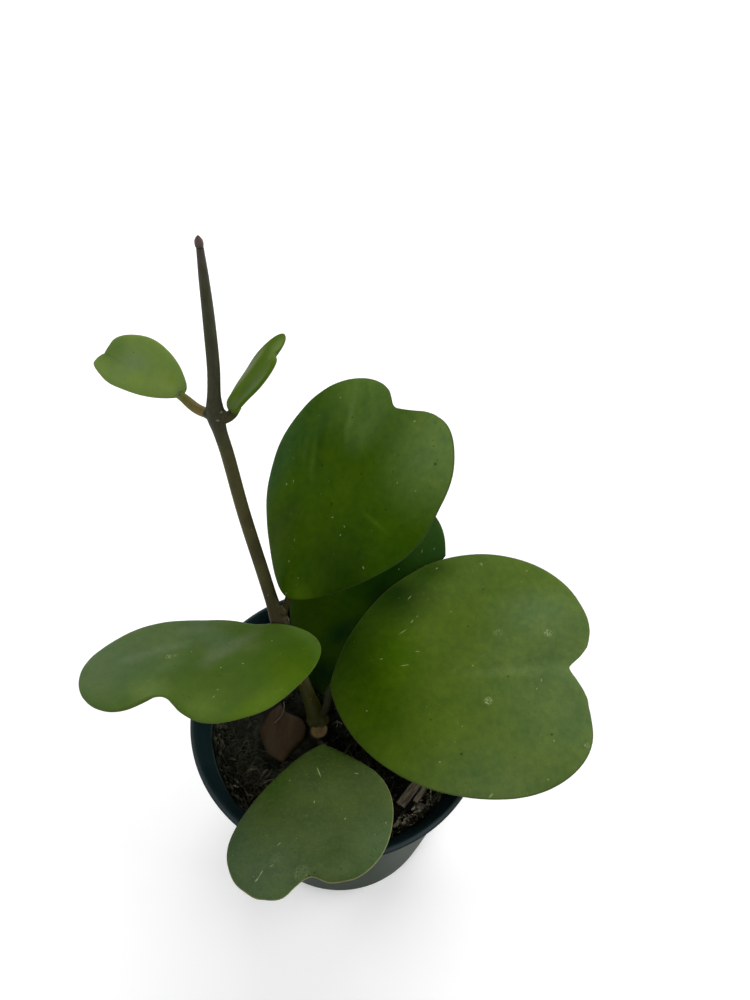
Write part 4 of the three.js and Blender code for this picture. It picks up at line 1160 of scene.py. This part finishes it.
def leaf_outline(shape):
    """The margin, laid flat: across and along, from the base round the right side and back."""
    steps = 16 if shape.young else 30
    right = half_outline(shape, shape.right, shape.length + shape.lobe_shift, steps)
    left = half_outline(shape, shape.left, shape.length - shape.lobe_shift, steps)
    whole = np.vstack([right, [(0, shape.length - shape.notch)], left[1:][::-1] * (-1, 1)])
    for across, along, move_across, move_along, reach in shape.nudges:
        gap = np.linalg.norm(whole - (across, along), axis=1)
        whole = whole + np.exp(-((gap / reach) ** 2))[:, None] * (move_across, move_along)
    if shape.bay:
        first, last = (int(np.linalg.norm(whole - shape.bay[end], axis=1).argmin()) for end in (0, -1))
        whole[first:last + 1] = curve_points([(x, y, 0) for x, y in shape.bay], last + 1 - first)[:, :2]
    return middle_of(shape) + (whole - middle_of(shape)) * BLADE_INSET


def blade_points(shape, x, y, lift):
    """Points of the flat outline, lifted off it, cupped across the midrib and bent along it."""
    half_width = (shape.left.width + shape.right.width) / 2
    height = shape.cup * (x / half_width) ** 2 * half_width + lift
    bend_radius = shape.length / shape.bend
    angle = y / bend_radius
    return np.stack([x, (bend_radius + height) * np.sin(angle),
                     height * np.cos(angle) - bend_radius * (1 - np.cos(angle))], -1)


def make_blade(shape, seed):
    """Rings of points from the hub of the upper face out to the rim, and from the hub of the back."""
    outline = leaf_outline(shape)
    middle = middle_of(shape)
    thickness, groove_depth, roughness = YOUNG_BLADE if shape.young else OLD_BLADE
    shares = [0, *np.linspace(0.06, 0.9, 20), *(1 - 0.1 * (1 - np.linspace(0.15, 1, 9)) ** 1.8)]
    turns = 2 * math.pi * np.arange(len(outline)) / len(outline)
    points, places, margins, tops = [], [], [], []
    rings = {1: [], -1: []}
    total = 0
    for face in (1, -1):
        for share in shares if face == 1 else shares[:-1]:
            flat = middle + (outline - middle) * share if share else middle[None]
            x, y = flat[:, 0], flat[:, 1]
            half = face * thickness / 2 * math.sqrt(max(0.0, 1 - share ** 12))
            fade = np.maximum(0, 1 - y / (0.75 * shape.length)) * (1 - share ** 6)
            groove = groove_depth * np.exp(-((x / GROOVE_WIDTH) ** 2)) * fade
            relief = roughness * np.array([0.55 * noise.noise(Vector((a / 17, b / 17, seed)))
                                           + 0.12 * noise.noise(Vector((a / 6, b / 6, seed + 4)))
                                           for a, b in flat])
            ripple = shape.wave * share ** 3 * np.sin(shape.waves * turns[:len(x)])
            points.append(blade_points(shape, x, y, ripple + half - groove + relief))
            places.append(np.stack([x, y, np.full(len(x), 20.0 * seed)], 1))
            margins.append(np.full(len(x), share))
            tops.append(np.full(len(x), 0.5 + 0.5 * face if share < 1 else 0.5))
            rings[face].append(range(total, total + len(x)))
            total += len(x)
    faces = skin([*rings[1], *reversed(rings[-1])], flip=True)
    return np.vstack(points), faces, np.vstack(places), np.concatenate(margins), np.concatenate(tops)


def make_leaf(name, shape, seed):
    """A blade, and the petiole that runs on under its midrib."""
    points, faces, place, margin, top = make_blade(shape, seed)
    matrix = np.array(Matrix.Rotation(math.radians(shape.heading - 90), 3, "Z")
                      @ Matrix.Rotation(math.radians(shape.rise), 3, "X")
                      @ Matrix.Rotation(math.radians(-shape.roll), 3, "Y"))
    seat, thinning, skin_end = YOUNG_PETIOLE if shape.young else OLD_PETIOLE
    inner = blade_points(shape, np.zeros(2), np.array((0.01, 0.12)) * shape.length, seat)
    points, inner = (flat @ matrix.T + np.array(shape.base) for flat in (points, inner))

    def petiole_radius(share):
        thin = min(max((share - 0.5) / 0.5, 0), 1)
        return shape.petiole_radius * (1 - thinning * thin * thin * (3 - 2 * thin))

    stalk_points, stalk_faces = tube([*shape.petiole, *inner], petiole_radius, PETIOLE_STEPS, PETIOLE_SIDES)
    count = len(points)
    reach = np.append(np.repeat(np.linspace(0, 1, PETIOLE_STEPS + 1), PETIOLE_SIDES), (0, 1))
    held = {
        "leaf_place": np.vstack([place, stalk_points]),
        "margin": np.append(margin, np.zeros(len(reach))),
        "top": np.append(top, np.ones(len(reach))),
        "stalk": np.append(np.zeros(count), np.clip((skin_end - reach) / 0.2, 0, 1)),
        "reach": np.append(np.zeros(count), reach),
    }
    faces += [tuple(i + count for i in face) for face in stalk_faces]
    new_piece(name + "_blade", np.vstack([points, stalk_points]), faces, leaf_finish(name, LEAF_LOOKS[name]),
              [name], held)


# Stage
def make_stage():
    mesh = bpy.data.meshes.new("floor")
    corners = [(x * FLOOR_REACH, y * FLOOR_REACH, 0) for x, y in ((-1, -1), (1, -1), (1, 1), (-1, 1))]
    mesh.from_pydata(corners, [], [(0, 1, 2, 3)])
    mesh.materials.append(floor_finish())
    floor = bpy.data.objects.new("floor", mesh)
    bpy.context.scene.collection.objects.link(floor)


def make_light():
    world = bpy.data.worlds.new("studio")
    world.use_nodes = True
    backdrop = world.node_tree.nodes["Background"]
    backdrop.inputs[0].default_value = SKY
    backdrop.inputs[1].default_value = SKY_STRENGTH
    bpy.context.scene.world = world
    for name, (place, size, power) in LIGHTS.items():
        data = bpy.data.lights.new(name, "AREA")
        data.shape, data.size, data.energy = "SQUARE", size, power
        lamp = bpy.data.objects.new(name, data)
        lamp.location = place
        lamp.rotation_euler = (Vector((0, 0, 0.1)) - Vector(place)).to_track_quat("-Z", "Y").to_euler()
        bpy.context.scene.collection.objects.link(lamp)
    bpy.context.scene.view_settings.view_transform = "Standard"


def make_camera():
    data = bpy.data.cameras.new("photo_camera")
    data.lens, data.sensor_width = CAMERA_LENS, 36
    camera = bpy.data.objects.new("photo_camera", data)
    camera.matrix_world = (Matrix.Translation(Vector(CAMERA_PLACE) * MM)
                           @ Matrix.Rotation(math.radians(90 - CAMERA_DOWN), 4, "X")
                           @ Matrix.Rotation(math.radians(CAMERA_ROLL), 4, "Z"))
    bpy.context.scene.collection.objects.link(camera)
    bpy.context.scene.camera = camera


make_camera()
make_light()
make_stage()
make_pot()
make_soil()
litter = random.Random(7)
make_crumbs(litter)
make_fibres(litter)
make_bark_chunk()
make_chips()
make_stem()
for number, (leaf_name, leaf_shape) in enumerate(LEAVES.items()):
    make_leaf(leaf_name, leaf_shape, number)

bpy.context.view_layer.update()
